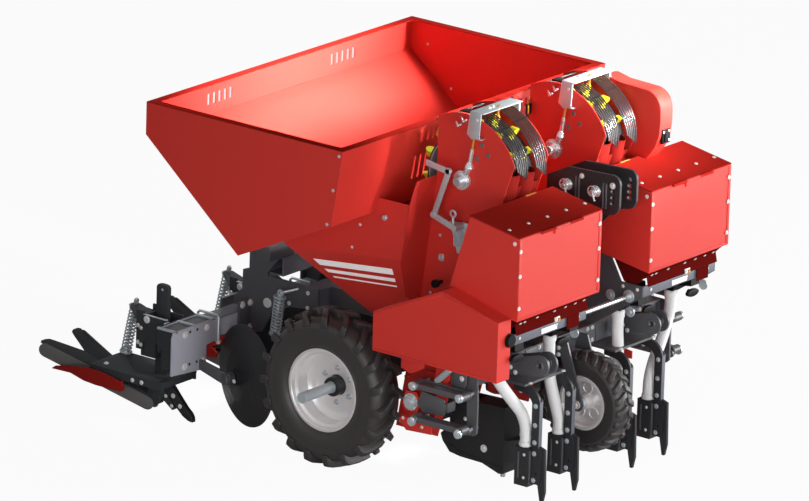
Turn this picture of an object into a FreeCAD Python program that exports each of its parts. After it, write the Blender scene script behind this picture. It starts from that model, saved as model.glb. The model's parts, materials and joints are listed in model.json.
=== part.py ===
"""Two-row mounted cup-belt potato planter, modelled as a parametric FreeCAD document.

Frame: X points forward (the way the tractor pulls), Y to the left, Z up. The origin lies on the
ground, under the axle of the main wheels, on the machine's middle plane. All sizes are in mm.
"""
import FreeCAD, Part
import math
import os
import Sketcher
from FreeCAD import Placement, Rotation, Vector

doc = FreeCAD.newDocument("PotatoPlanter")

# ---------------------------------------------------------------- driving dimensions

SIZES = {
    # the seed hopper, whose side is a five-cornered plate
    "hopper_width": 2156, "hopper_rear": -974, "hopper_front": 281.5, "hopper_top": 1767,
    "hopper_slope_top": 1596, "hopper_low_x": -365, "hopper_low_z": 1090,
    "hopper_nose_x": 220, "hopper_nose_z": 1366, "rim_width": 48, "sheet": 4,
    "slot_width": 18, "slot_length": 58, "slot_pitch": 44, "rear_slot_y": 500,
    "front_slot_y": 333, "front_slot_z": 1700, "long_slot_y": 391, "long_slot_z": 1543,
    "long_slot_length": 120,
    # the funnels below it
    "funnel_half": 720, "funnel_rear": -332, "funnel_rear_z": 1066, "funnel_front": 384,
    "funnel_front_z": 1149, "funnel_shoulder_z": 1441, "outlet_rear": 60, "outlet_z": 748,
    # the two planting units
    "row_offset": 375, "unit_width": 280, "unit_plate": 5, "roller_x": 605, "roller_z": 1568,
    "unit_top_radius": 342, "unit_brow_x": 917, "unit_brow_z": 1697, "unit_chest_x": 845,
    "unit_chest_z": 1488, "unit_foot_front": 494, "unit_foot_rear": 230, "unit_foot_z": 199,
    "unit_back_x": 437, "unit_back_z": 1557, "unit_waist_x": 359, "unit_waist_z": 930,
    "belt_radius": 225, "belt_thickness": 10, "belt_width": 120, "belt_spacing": 130,
    "low_roller_x": 372, "low_roller_z": 312, "low_roller_radius": 80, "roller_shaft": 20,
    # the fertiliser boxes at the front
    "box_pitch": 1084, "box_width": 670, "box_back": 927, "box_front": 1236, "box_back_top": 1525,
    "box_front_top": 1473, "box_base_back": 807, "box_base_back_z": 1116, "box_base_front_z": 1050,
    "box_wall": 3, "lid_depth": 26, "lid_seam": 2, "hinge_radius": 8,
    # the frame
    "tube": 100, "tube_wall": 8, "toolbar_x": 840, "toolbar_z": 655, "toolbar_half": 795,
    "rail_y": 150, "axle_beam_half": 612, "rear_cross_x": -510, "rear_bar_x": -950,
    "rear_bar_z": 470, "rear_bar_half": 876, "cradle_x": -745, "cradle_z": 775,
    "frame_plate": 15,
    "arm_y": 298, "mast_y": 70, "hitch_x": 1107, "hitch_z": 706, "hitch_bore": 14.2,
    # the wheels
    "track_half": 750, "axle_z": 405, "tyre_radius": 405, "tyre_width": 205, "rim_seat": 203,
    "rim_flange": 216, "rim_width_in": 165, "axle_radius": 30, "axle_tip_radius": 27.5,
    "axle_end": 997, "hub_radius": 50, "hub_inner": 70, "hub_outer": 10,
    "front_wheel_x": 1041, "front_wheel_z": 387, "front_tyre_radius": 258,
    "front_tyre_width": 130, "front_rim_seat": 127, "front_rim_flange": 141,
    "front_axle_radius": 15, "running_gap": 0.05, "seat_gap": 0.3,
    # the soil tools
    "disc_radius": 265, "disc_reach": 275, "disc_z": 272, "disc_offset": 260, "disc_toe": 20,
    "disc_bar_back": 15, "disc_bar_z": 380, "ridger_pitch": 750, "ridger_deck_z": 218,
    "coulter_spread": 135, "coulter_tip_x": 1161, "coulter_front": 1130, "hose_radius": 30,
    "share_front_x": 856, "share_width": 130, "share_keel_z": 60,
}


class Size:
    """A value of the sheet, or one worked out from such values: its number and its expression."""

    def __init__(self, text, value):
        self.text = text
        self.value = float(value)

    def __add__(self, other):
        other = as_size(other)
        return Size(f"({self.text} + {other.text})", self.value + other.value)

    def __sub__(self, other):
        other = as_size(other)
        return Size(f"({self.text} - {other.text})", self.value - other.value)

    def __mul__(self, other):
        other = as_size(other)
        return Size(f"({self.text} * {other.text})", self.value * other.value)

    def __truediv__(self, other):
        other = as_size(other)
        return Size(f"({self.text} / {other.text})", self.value / other.value)

    def __radd__(self, other):
        return as_size(other) + self

    def __rsub__(self, other):
        return as_size(other) - self

    def __rmul__(self, other):
        return as_size(other) * self

    def __neg__(self):
        return Size(f"(0 - {self.text})", -self.value)

    def __float__(self):
        return self.value


def as_size(number):
    """A plain number as a Size, so that both can be mixed in one formula."""
    if isinstance(number, Size):
        return number
    return Size(f"({number:.6f})", number)


def root(size):
    """The square root of a size."""
    return Size(f"sqrt({size.text})", math.sqrt(size.value))


class Sheet:
    """The spreadsheet of driving dimensions, read as attributes."""

    def __init__(self, sizes):
        self.cells = doc.addObject("Spreadsheet::Sheet", "Sizes")
        for row, (name, number) in enumerate(sizes.items(), start=1):
            self.cells.set(f"A{row}", name.replace("_", " "))
            self.cells.set(f"B{row}", str(number))
            self.cells.setAlias(f"B{row}", name)
            setattr(self, name, Size(f"Sizes.{name}", number))


S = Sheet(SIZES)
doc.recompute()

# ---------------------------------------------------------------- drawing helpers

LEFT = 1
RIGHT = -1
made = {}
count = {}


def unique(name):
    """An internal object name that isn't used yet."""
    count[name] = count.get(name, 0) + 1
    return f"{name}_{count[name]}"


def place(item, x=0, y=0, z=0, rotation=None):
    """Puts an object at a place bound to the sheet."""
    sizes = [as_size(v) for v in (x, y, z)]
    item.Placement = Placement(Vector(*[s.value for s in sizes]), rotation or Rotation())
    for axis, size in zip("xyz", sizes):
        item.setExpression(f".Placement.Base.{axis}", size.text)
    return item


def fix_point(sketch, geometry, end, x, y):
    """Binds a point of a sketch to its two coordinates."""
    for kind, axis, size in (("DistanceX", -2, as_size(x)), ("DistanceY", -1, as_size(y))):
        if abs(size.value) < 1e-9:
            sketch.addConstraint(Sketcher.Constraint("PointOnObject", geometry, end, axis))
            continue
        index = sketch.addConstraint(Sketcher.Constraint(kind, -1, 1, geometry, end, size.value))
        sketch.setExpression(f"Constraints[{index}]", size.text)


def edge_between(start, end, bulge):
    """A straight edge, or an arc whose centre lies to the right of the way it is drawn.

    A negative bulge puts the centre to the left. Returned with its start and end point numbers.
    """
    if bulge == 0:
        return Part.LineSegment(start, end), 1, 2
    chord = end - start
    right = Vector(chord.y, -chord.x, 0).normalize() * (1 if bulge > 0 else -1)
    centre = (start + end) * 0.5 + right * math.sqrt(bulge ** 2 - (chord.Length / 2) ** 2)
    circle = Part.Circle(centre, Vector(0, 0, 1), abs(bulge))
    turn = [math.atan2(point.y - centre.y, point.x - centre.x) for point in (start, end)]
    if bulge > 0:
        return Part.ArcOfCircle(circle, turn[1], turn[0]), 2, 1
    return Part.ArcOfCircle(circle, turn[0], turn[1]), 1, 2


def draw_outline(sketch, points):
    """Draws a closed outline through the points; a third value rounds the edge that follows."""
    flat = [Vector(float(point[0]), float(point[1]), 0) for point in points]
    first = sketch.GeometryCount
    ends = []
    for number, point in enumerate(points):
        bulge = as_size(point[2]) if len(point) == 3 else as_size(0)
        after = flat[(number + 1) % len(flat)]
        edge, start_point, end_point = edge_between(flat[number], after, bulge.value)
        sketch.addGeometry(edge)
        ends.append((start_point, end_point))
        if bulge.value:
            size = sketch.addConstraint(
                Sketcher.Constraint("Radius", first + number, abs(bulge.value)))
            sketch.setExpression(f"Constraints[{size}]", f"abs({bulge.text})")
    for number, point in enumerate(points):
        after = (number + 1) % len(flat)
        sketch.addConstraint(Sketcher.Constraint("Coincident", first + number, ends[number][1],
                                                 first + after, ends[after][0]))
        fix_point(sketch, first + number, ends[number][0], point[0], point[1])


def draw_circle(sketch, x, y, radius):
    """Draws a circle of the given centre and radius."""
    radius = as_size(radius)
    circle = Part.Circle(Vector(float(x), float(y), 0), Vector(0, 0, 1), radius.value)
    index = sketch.addGeometry(circle)
    fix_point(sketch, index, 3, x, y)
    size = sketch.addConstraint(Sketcher.Constraint("Radius", index, radius.value))
    sketch.setExpression(f"Constraints[{size}]", radius.text)


def new_body(name):
    """An empty body."""
    return doc.addObject("PartDesign::Body", unique(name))


def new_sketch(body, plane):
    """A sketch on one of the body's own origin planes."""
    sketch = body.newObject("Sketcher::SketchObject", body.Name + "_sketch")
    support = next(f for f in body.Origin.OriginFeatures if f.Role == f"{plane}_Plane")
    sketch.AttachmentSupport = [(support, "")]
    sketch.MapMode = "FlatFace"
    return sketch


def plate(name, plane, points, thickness, holes=(), x=0, y=0, z=0, rotation=None):
    """A plate with an outline in the XZ, YZ or XY plane, as thick on both sides of that plane."""
    body = new_body(name)
    sketch = new_sketch(body, plane)
    draw_outline(sketch, points)
    for hole in holes:
        if len(hole) == 3:
            draw_circle(sketch, *hole)
        else:
            draw_outline(sketch, hole)
    pad = body.newObject("PartDesign::Pad", body.Name + "_pad")
    pad.Profile = sketch
    pad.SideType = "Symmetric"
    pad.setExpression("Length", as_size(thickness).text)
    sketch.Visibility = False
    return place(body, x, y, z, rotation)


def turned(name, points, x=0, y=0, z=0, rotation=None):
    """A body turned about its local Y axis, from an outline of (along the axis, radius) points."""
    body = new_body(name)
    sketch = new_sketch(body, "YZ")
    draw_outline(sketch, points)
    turn = body.newObject("PartDesign::Revolution", body.Name + "_turn")
    turn.Profile = sketch
    turn.ReferenceAxis = (sketch, ["H_Axis"])
    turn.Angle = 360
    return place(body, x, y, z, rotation)


def block(name, x, y, z):
    """A box between two values on each axis."""
    box = doc.addObject("Part::Box", unique(name))
    for prop, (low, high) in (("Length", x), ("Width", y), ("Height", z)):
        size = as_size(high) - as_size(low)
        setattr(box, prop, size.value)
        box.setExpression(prop, size.text)
    return place(box, x[0], y[0], z[0])


def rod(name, radius, length, x, y, z, axis="y"):
    """A round bar that starts at a point and runs along an axis, or along any given vector."""
    ways = {"x": Vector(1, 0, 0), "y": Vector(0, 1, 0), "z": Vector(0, 0, 1)}
    way = ways[axis] if isinstance(axis, str) else axis
    bar = doc.addObject("Part::Cylinder", unique(name))
    bar.setExpression("Radius", as_size(radius).text)
    bar.setExpression("Height", as_size(length).text)
    return place(bar, x, y, z, Rotation(Vector(0, 0, 1), way))


def strut(name, radius, start, end):
    """A round bar from one point to another."""
    way = Vector(*[float(v) for v in end]) - Vector(*[float(v) for v in start])
    return rod(name, radius, way.Length, *start, axis=way)


def fuse(name, pieces):
    """Pieces joined into one."""
    joined = doc.addObject("Part::MultiFuse", unique(name))
    joined.Shapes = pieces
    joined.Refine = True
    return joined


def cut(name, base, tools):
    """A base with other pieces taken away."""
    done = doc.addObject("Part::Cut", unique(name))
    done.Base = base
    done.Tool = tools[0] if len(tools) == 1 else fuse(name + "_tools", tools)
    return done


def group(name, pieces):
    """Like pieces that don't touch, kept as one sub-part."""
    together = doc.addObject("Part::Compound", unique(name))
    together.Links = pieces
    return together


def mirrored(name, source):
    """The same piece on the machine's other side."""
    copy = doc.addObject("Part::Mirroring", unique(name))
    copy.Source = source
    copy.Normal = Vector(0, 1, 0)
    return copy


def both_sides(name, source):
    """A piece and its mirror image as one sub-part."""
    return group(name, [source, mirrored(name, source)])


def node(name, item):
    """Names a finished sub-part, which is written to its own file."""
    item.Label = name
    made[name] = item
    return item


def box_tube(name, x, y, z, along):
    """A square tube with open ends that runs along one axis."""
    outer = block(name, x, y, z)
    spans = []
    for axis, (low, high) in zip("xyz", (x, y, z)):
        inset = -1 if axis == along else S.tube_wall
        spans.append((as_size(low) + inset, as_size(high) - inset))
    return cut(name, outer, [block(name + "_bore", *spans)])


def around(middle, width):
    """The two values that lie half a width to each side of a middle one."""
    return (as_size(middle) - as_size(width) / 2, as_size(middle) + as_size(width) / 2)


# ---------------------------------------------------------------- hopper

half_hopper = S.hopper_width / 2
wall_top = S.hopper_top - S.sheet
rear_fall = (S.hopper_slope_top - S.hopper_low_z) / (S.hopper_low_x - S.hopper_rear)
front_lean = (S.hopper_front - S.hopper_nose_x) / (S.hopper_top - S.hopper_nose_z)
nose_rise = (S.hopper_nose_z - S.hopper_low_z) / (S.hopper_nose_x - S.hopper_low_x)
wall_front = S.hopper_nose_x + (wall_top - S.hopper_nose_z) * front_lean


def steep(slope):
    """How much longer a sheet's vertical cut is than its thickness, on a slope."""
    return root(as_size(1) + slope * slope)


def slots(name, x, y, z, length, number, thick):
    """A row of upright slots through a wall that faces along X."""
    cutters = []
    for place_in_row in range(number):
        middle = as_size(y) + (place_in_row - (number - 1) / 2) * S.slot_pitch
        cutters.append(block(name, around(x, thick), around(middle, S.slot_width),
                             around(z, length)))
    return cutters


def hopper_side():
    points = [(S.hopper_rear, wall_top), (wall_front, wall_top),
              (S.hopper_nose_x, S.hopper_nose_z), (S.hopper_low_x, S.hopper_low_z),
              (S.hopper_rear, S.hopper_slope_top)]
    return plate("hopper_side", "XZ", points, S.sheet, y=S.sheet / 2 - half_hopper)


def hopper_rear_wall():
    """The upright wall at the back, with its two groups of slots."""
    wall = block("hopper_rear_wall", (S.hopper_rear, S.hopper_rear + S.sheet),
                 around(0, S.hopper_width - 2 * S.sheet), (S.hopper_slope_top, wall_top))
    middle = (S.hopper_slope_top + S.hopper_top) / 2 - 8
    cutters = []
    for side in (LEFT, RIGHT):
        cutters += slots("rear_slot", S.hopper_rear, side * S.rear_slot_y, middle,
                         S.slot_length, 5, 40)
    return cut("hopper_rear_wall", wall, cutters)


def hopper_rear_slope():
    """The sloping floor that runs from the upright wall down to the funnels."""
    lift = S.sheet * steep(rear_fall)
    points = [(S.hopper_rear, S.hopper_slope_top),
              (S.hopper_low_x, S.hopper_low_z), (S.hopper_low_x, S.hopper_low_z + lift),
              (S.hopper_rear + S.sheet, S.hopper_slope_top - S.sheet * rear_fall + lift),
              (S.hopper_rear + S.sheet, S.hopper_slope_top)]
    return plate("hopper_rear_slope", "XZ", points, S.hopper_width - 2 * S.sheet)


def hopper_front_panel():
    back = S.sheet * steep(front_lean)
    points = [(S.hopper_nose_x, S.hopper_nose_z), (wall_front, wall_top),
              (wall_front - back, wall_top), (S.hopper_nose_x - back, S.hopper_nose_z)]
    panel = plate("hopper_front_panel", "XZ", points, S.hopper_width - 2 * S.sheet)
    cutters = []
    for side in (LEFT, RIGHT):
        cutters += slots("front_slot", S.hopper_front - 12, side * S.front_slot_y,
                         S.front_slot_z, S.slot_length - 10, 5, 60)
        cutters += slots("long_slot", S.hopper_nose_x + 25, side * S.long_slot_y,
                         S.long_slot_z, S.long_slot_length, 4, 80)
    return cut("hopper_front_panel", panel, cutters)


def hopper_bottom_plate():
    lift = S.sheet * steep(nose_rise)
    front = S.hopper_nose_x - S.sheet * steep(front_lean) - S.seat_gap
    front_z = S.hopper_low_z + (front - S.hopper_low_x) * nose_rise
    points = [(S.hopper_low_x, S.hopper_low_z), (front, front_z), (front, front_z + lift),
              (S.hopper_low_x, S.hopper_low_z + lift)]
    inner = S.funnel_half - S.sheet
    outer = half_hopper - S.sheet
    return plate("hopper_bottom_plate", "XZ", points, outer - inner, y=-(inner + outer) / 2)


def hopper_rim():
    low, high = S.hopper_rear, S.hopper_front
    outline = [(low, -half_hopper), (high, -half_hopper), (high, half_hopper),
               (low, half_hopper)]
    low, high = low + S.rim_width, high - S.rim_width
    side = half_hopper - S.rim_width
    hole = [(low, -side), (high, -side), (high, side), (low, side)]
    return plate("hopper_rim", "XY", outline, S.sheet, holes=[hole], z=S.hopper_top - S.sheet / 2)


def four_corners(rear, front, outer, inner, rear_z, front_z):
    """A closed four-cornered wire, level across the machine."""
    corners = [Vector(float(rear), float(outer), float(rear_z)),
               Vector(float(front), float(outer), float(front_z)),
               Vector(float(front), float(inner), float(front_z)),
               Vector(float(rear), float(inner), float(rear_z))]
    return Part.makePolygon(corners + corners[:1])


def unit_back(z):
    """Where the back edge of a planting unit lies, between its waist and its back corner."""
    lean = (S.unit_back_x - S.unit_waist_x) / (S.unit_back_z - S.unit_waist_z)
    return S.unit_waist_x + (as_size(z) - S.unit_waist_z) * lean


def unit_heel(z):
    """Where the back edge lies below the waist."""
    lean = (S.unit_waist_x - S.unit_foot_rear) / (S.unit_waist_z - S.unit_foot_z)
    return S.unit_waist_x - (S.unit_waist_z - as_size(z)) * lean


def hopper_funnel():
    """The tapering sheet funnel over one row, and the upright side plate above it."""
    wall = S.sheet
    outlet_front = unit_heel(S.outlet_z) - S.seat_gap
    half_unit = S.unit_width / 2
    shells = []
    for inset in (0, 1):
        grow = wall * inset
        top = four_corners(S.funnel_rear + 1.6 * grow, S.funnel_front - grow,
                           -S.funnel_half + grow, -wall - grow, S.funnel_rear_z + grow / 8,
                           S.funnel_front_z + grow / 8)
        low = four_corners(S.outlet_rear + 1.6 * grow, outlet_front - grow,
                           -S.row_offset - half_unit + grow, -S.row_offset + half_unit - grow,
                           S.outlet_z - grow / 8, S.outlet_z - grow / 8)
        shells.append(Part.makeLoft([top, low], True, True))
    pyramid = shells[0].cut(shells[1])
    corners = [(S.hopper_low_x, S.hopper_low_z), (S.hopper_nose_x, S.hopper_nose_z),
               (S.hopper_nose_x + S.seat_gap, S.hopper_nose_z),
               (S.hopper_nose_x + S.seat_gap + (S.funnel_shoulder_z - S.hopper_nose_z) * front_lean,
                S.funnel_shoulder_z),
               (unit_back(S.funnel_shoulder_z) - S.seat_gap, S.funnel_shoulder_z),
               (S.funnel_front, S.funnel_front_z), (S.funnel_rear, S.funnel_rear_z)]
    outline = [Vector(float(x), -float(S.funnel_half), float(z)) for x, z in corners]
    side = Part.Face(Part.makePolygon(outline + outline[:1])).extrude(Vector(0, float(wall), 0))
    funnel = doc.addObject("Part::Feature", unique("hopper_funnel"))
    funnel.Shape = pyramid.fuse(side).removeSplitter()
    return funnel


def build_hopper():
    side = node("hopper_side_right", hopper_side())
    node("hopper_side_left", mirrored("hopper_side_left", side))
    node("hopper_rear_wall", hopper_rear_wall())
    node("hopper_rear_slope", hopper_rear_slope())
    node("hopper_front_panel", hopper_front_panel())
    node("hopper_bottom_plates", both_sides("hopper_bottom_plates", hopper_bottom_plate()))
    node("hopper_rim", hopper_rim())
    funnel = node("hopper_funnel_right", hopper_funnel())
    node("hopper_funnel_left", mirrored("hopper_funnel_left", funnel))


build_hopper()

# ---------------------------------------------------------------- planting units

half_unit = S.unit_width / 2


def unit_front(z):
    """Where the front edge of a planting unit lies below its chest."""
    lean = (S.unit_chest_x - S.unit_foot_front) / (S.unit_chest_z - S.unit_foot_z)
    return S.unit_foot_front + (as_size(z) - S.unit_foot_z) * lean


def unit_side_plate(middle, side):
    """One side plate: an arc over the top roller, tapering to the foot by the share."""
    reach = S.roller_x - S.unit_back_x
    back_top = S.roller_z + root(S.unit_top_radius * S.unit_top_radius - reach * reach)
    points = [(S.unit_back_x, back_top, S.unit_top_radius), (S.unit_brow_x, S.unit_brow_z),
              (S.unit_chest_x, S.unit_chest_z), (S.unit_foot_front, S.unit_foot_z),
              (S.unit_foot_rear, S.unit_foot_z), (S.unit_waist_x, S.unit_waist_z),
              (S.unit_back_x, S.unit_back_z)]
    holes = [(S.roller_x, S.roller_z, S.roller_shaft + 12),
             (S.low_roller_x, S.low_roller_z, S.roller_shaft + S.seat_gap)]
    return plate("unit_plate", "XZ", points, S.unit_plate, holes,
                 y=middle + side * (half_unit - S.unit_plate / 2))


def belt_outline(top_radius, low_radius):
    """A loop round the two rollers: two arcs at each roller, joined by straight runs."""
    run_x = S.low_roller_x - S.roller_x
    run_z = S.low_roller_z - S.roller_z
    length = root(run_x * run_x + run_z * run_z)
    way_x, way_z = run_x / length, run_z / length
    lean = (top_radius - low_radius) / length
    square = root(1 - lean * lean)

    def on_roller(x, z, radius, side):
        return (x + radius * (lean * way_x + side * square * -way_z),
                z + radius * (lean * way_z + side * square * way_x))

    top_back = on_roller(S.roller_x, S.roller_z, top_radius, -1)
    top_front = on_roller(S.roller_x, S.roller_z, top_radius, 1)
    low_front = on_roller(S.low_roller_x, S.low_roller_z, low_radius, 1)
    low_back = on_roller(S.low_roller_x, S.low_roller_z, low_radius, -1)
    crown = (S.roller_x - top_radius * way_x, S.roller_z - top_radius * way_z)
    toe = (S.low_roller_x + low_radius * way_x, S.low_roller_z + low_radius * way_z)
    return [(*top_back, top_radius), (*crown, top_radius), top_front,
            (*low_front, low_radius), (*toe, low_radius), low_back]


def cup_belts(middle):
    """The two endless belts of a unit, side by side."""
    inside = belt_outline(S.belt_radius, S.low_roller_radius)
    outside = belt_outline(S.belt_radius + S.belt_thickness,
                           S.low_roller_radius + S.belt_thickness)
    return [plate("cup_belt", "XZ", outside, S.belt_width, [inside],
                  y=middle + side * S.belt_spacing / 2) for side in (LEFT, RIGHT)]


def belt_rollers(middle):
    """The top drum, a shell on a hub disc and shaft, and the plain roller at the foot."""
    inside = half_unit - S.unit_plate - 4
    rim = S.belt_radius - S.seat_gap
    bearing_end = half_unit + 62
    drum = [(-inside, rim), (inside, rim), (inside, rim - 6), (4, rim - 6), (4, S.roller_shaft),
            (half_unit + 8, S.roller_shaft), (half_unit + 8, 0), (-bearing_end, 0),
            (-bearing_end, S.roller_shaft), (-4, S.roller_shaft), (-4, rim - 6),
            (-inside, rim - 6)]
    low_rim = S.low_roller_radius - S.seat_gap
    low = [(-inside, low_rim), (inside, low_rim), (inside, S.roller_shaft),
           (half_unit, S.roller_shaft), (half_unit, 0), (-half_unit, 0),
           (-half_unit, S.roller_shaft), (-inside, S.roller_shaft)]
    return [turned("top_drum", drum, S.roller_x, middle, S.roller_z),
            turned("low_roller", low, S.low_roller_x, middle, S.low_roller_z)]


def unit_front_cover(middle):
    """The bent sheet that closes the front of a unit below the guide wires."""
    lean = (S.unit_brow_x - S.unit_chest_x) / (S.unit_brow_z - S.unit_chest_z)
    inset, high, low = 6, 72, 231
    top_x = S.unit_chest_x + high * lean
    low_z = S.unit_foot_z + low
    faces = []
    for depth in (inset, inset + S.sheet):
        faces.append([(top_x - depth, S.unit_chest_z + high), (S.unit_chest_x - depth, S.unit_chest_z),
                      (unit_front(low_z) - depth, low_z)])
    return plate("unit_front_cover", "XZ", faces[0] + faces[1][::-1],
                 S.unit_width - 2 * S.unit_plate - 2 * S.seat_gap, y=middle)


def post_plate():
    """The leaning plate between a unit's back edge and the funnel's side."""
    lean = math.degrees(math.atan(float(
        (S.unit_back_x - S.unit_waist_x) / (S.unit_back_z - S.unit_waist_z))))
    inner = -(S.row_offset + half_unit + S.seat_gap)
    points = [(inner, 0), (-643, 0), (-727, 202), (-714, 504), (-679, 632), (inner, 632)]
    return plate("post_plate", "YZ", points, S.sheet, x=S.unit_waist_x + S.sheet / 2 + S.seat_gap,
                 z=S.unit_waist_z, rotation=Rotation(Vector(0, 1, 0), lean))


def belt_tensioner(middle):
    """The bracket over the belts, its threaded rod and the bearing that the rod lifts."""
    outer = middle - half_unit
    bearing = rod("bearing", 48, 30, S.roller_x, outer - 30 - S.seat_gap, S.roller_z)
    bore = rod("bearing_bore", S.roller_shaft + S.seat_gap, 60, S.roller_x, outer - 50, S.roller_z)
    eye_y = outer - 15 - S.seat_gap
    neck = S.roller_z + 42
    elbow = S.roller_z + 240
    screw = strut("screw", 9, (S.roller_x, eye_y, neck), (S.roller_x + 22, eye_y, elbow + 8))
    buckle = strut("buckle", 14, (S.roller_x, eye_y, neck), (S.roller_x + 14, eye_y, neck + 118))
    leg = plate("bracket_leg", "XZ", [(588, elbow), (662, elbow), (676, 1945), (610, 1945)], 30,
                y=eye_y)
    top = block("bracket_top", (610, 690), (outer - 32, middle + half_unit + 12), (1945, 1951))
    lip = block("bracket_lip", (610, 614), (outer - 32, middle + half_unit + 12), (1925, 1945))
    foot = block("bracket_foot", (640, 700), (middle + half_unit + S.seat_gap,
                                            middle + half_unit + 12), (1850, 1946))
    sleeve = cut("bearing_eye", bearing, [bore])
    return fuse("belt_tensioner", [sleeve, screw, buckle, leg, top, lip, foot])


def drive_guard():
    """The hollow cover over the belt drive on the outside of the left unit."""
    points = [(520, 1560), (570, 1850), (700, 1910), (812, 1870), (960, 1850, 150), (1049, 1752),
              (1010, 1712), (957, 1640), (925, 1570), (900, 1500), (620, 1440)]
    inside = [(524, 1561), (573, 1846), (700, 1905), (811, 1866), (958, 1846, 148), (1044, 1752),
              (1006, 1714), (953, 1642), (921, 1572), (897, 1504), (622, 1444)]
    start = S.row_offset + half_unit + 20
    shell = plate("drive_guard", "XZ", points, 84, y=start + 42)
    hollow = plate("drive_guard_hollow", "XZ", inside, 84, y=start + 42 - S.sheet)
    stay = block("guard_stay", (700, 740), (start - 20 + S.seat_gap, start + 1), (1700, 1740))
    return fuse("drive_guard", [cut("drive_guard_shell", shell, [hollow]),
                                block("guard_web", (700, 740), (start, start + 82), (1700, 1706)),
                                stay])


def depth_crank():
    """The hand crank beside the right unit, with its quadrant plate."""
    y = -(S.row_offset + half_unit + 85)
    quadrant_y = -(S.row_offset + half_unit + 20)
    arm_top = (500, y + 45, 1580)
    pieces = [strut("crank_shaft", 12, (590, y, 1315), (432, y, 1359)),
              strut("crank_arm", 12, (432, y, 1359), arm_top),
              strut("crank_grip", 13, arm_top, (357, y + 45, 1624)),
              plate("quadrant", "XZ", [(560, 1345), (668, 1352), (612, 1175)], 8, y=quadrant_y),
              rod("quadrant_boss", 16, 70, 600, y - 5, 1310),
              rod("quadrant_stud", 10, 19.7, 620, quadrant_y, 1280)]
    return fuse("depth_crank", pieces)


def share(middle):
    """The furrow opener: an open-topped boat with a wedge nose, and the plate it hangs from."""
    front, keel, half = S.share_front_x, S.share_keel_z, S.share_width / 2
    points = [(front, 412), (front, keel + 5), (front - 28, keel), (front - 134, keel + 33),
              (front - 270, keel + 35), (front - 340, keel + 45), (front - 386, keel + 95),
              (front - 400, keel + 130), (front - 344, keel + 190), (front - 344, 400)]
    wall = 8
    inside = [(front - wall, 360), (front - wall, keel + 20), (front - 134, keel + 44),
              (front - 270, keel + 46), (front - 334, keel + 56), (front - 376, keel + 100),
              (front - 420, keel + 150), (front - 420, 440), (front - 240, 440), (front - 140, 360)]
    shell = plate("share", "XZ", points, S.share_width, y=middle)
    hollow = plate("share_hollow", "XZ", inside, S.share_width - 2 * wall, y=middle)
    nose = plate("share_nose", "XY", [(front - 1, -half), (front + 49, -6), (front + 49, 6),
                                      (front - 1, half)], 110, y=middle, z=keel + 125)
    reach = half_unit - S.unit_plate - S.seat_gap
    cross = block("share_cross", (front - 344, front - 324), (middle - reach, middle + reach),
                  (300, 392))
    return fuse("share", [cut("share_shell", shell, [hollow]), nose, cross])


def build_units():
    rows = (-S.row_offset, S.row_offset)
    belts, rollers = [], []
    for side, middle in zip(("right", "left"), rows):
        plates = [unit_side_plate(middle, turn) for turn in (LEFT, RIGHT)]
        node(f"cup_unit_plates_{side}", group("unit_plates", plates))
        belts += cup_belts(middle)
        rollers += belt_rollers(middle)
    node("cup_belts", group("cup_belts", belts))
    node("belt_rollers", group("belt_rollers", rollers))
    node("unit_front_covers", group("unit_front_covers", [unit_front_cover(m) for m in rows]))
    node("belt_tensioners", group("belt_tensioners", [belt_tensioner(m) for m in rows]))
    node("post_plates", both_sides("post_plates", post_plate()))
    node("planting_shares", group("planting_shares", [share(m) for m in rows]))
    node("drive_guard", drive_guard())
    node("depth_crank", depth_crank())


build_units()

# ---------------------------------------------------------------- fertiliser boxes

box_slope = (S.box_back_top - S.box_front_top) / (S.box_front - S.box_back)
base_slope = (S.box_base_back_z - S.box_base_front_z) / (S.box_front - S.box_base_back)
hinge_x = S.box_front + S.hinge_radius + S.seat_gap
hinge_z = S.box_front_top
knuckle = 110
pin_radius = 4


def base_z(x):
    """The height of a box's sloping floor."""
    return S.box_base_back_z - (as_size(x) - S.box_base_back) * base_slope


def fertiliser_box(middle):
    """The open box, with the fixed middle knuckle and the pin of its lid's hinge."""
    wall = S.box_wall
    points = [(S.box_back, S.box_back_top), (S.box_front, S.box_front_top),
              (S.box_front, S.box_base_front_z), (S.box_base_back, S.box_base_back_z)]
    inside = [(S.box_back + wall, S.box_back_top + 60), (S.box_front - wall, S.box_front_top + 60),
              (S.box_front - wall, S.box_base_front_z + 2 * wall),
              (S.box_base_back + 2 * wall, S.box_base_back_z + wall),
              (S.box_back + wall, S.box_back_top)]
    shell = cut("box_shell", plate("box_body", "XZ", points, S.box_width, y=middle),
                [plate("box_hollow", "XZ", inside, S.box_width - 2 * wall, y=middle)])
    barrel = rod("box_knuckle", S.hinge_radius, knuckle, hinge_x, middle - knuckle / 2, hinge_z)
    leaf = block("box_leaf", (S.box_front - 1, hinge_x), (middle - knuckle / 2, middle + knuckle / 2),
                 (hinge_z - 30, hinge_z - 4))
    pin = rod("box_hinge_pin", pin_radius, 3 * knuckle + 4, hinge_x,
              middle - 1.5 * knuckle - 2, hinge_z)
    return fuse("fertiliser_box", [shell, barrel, leaf, pin])


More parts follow.
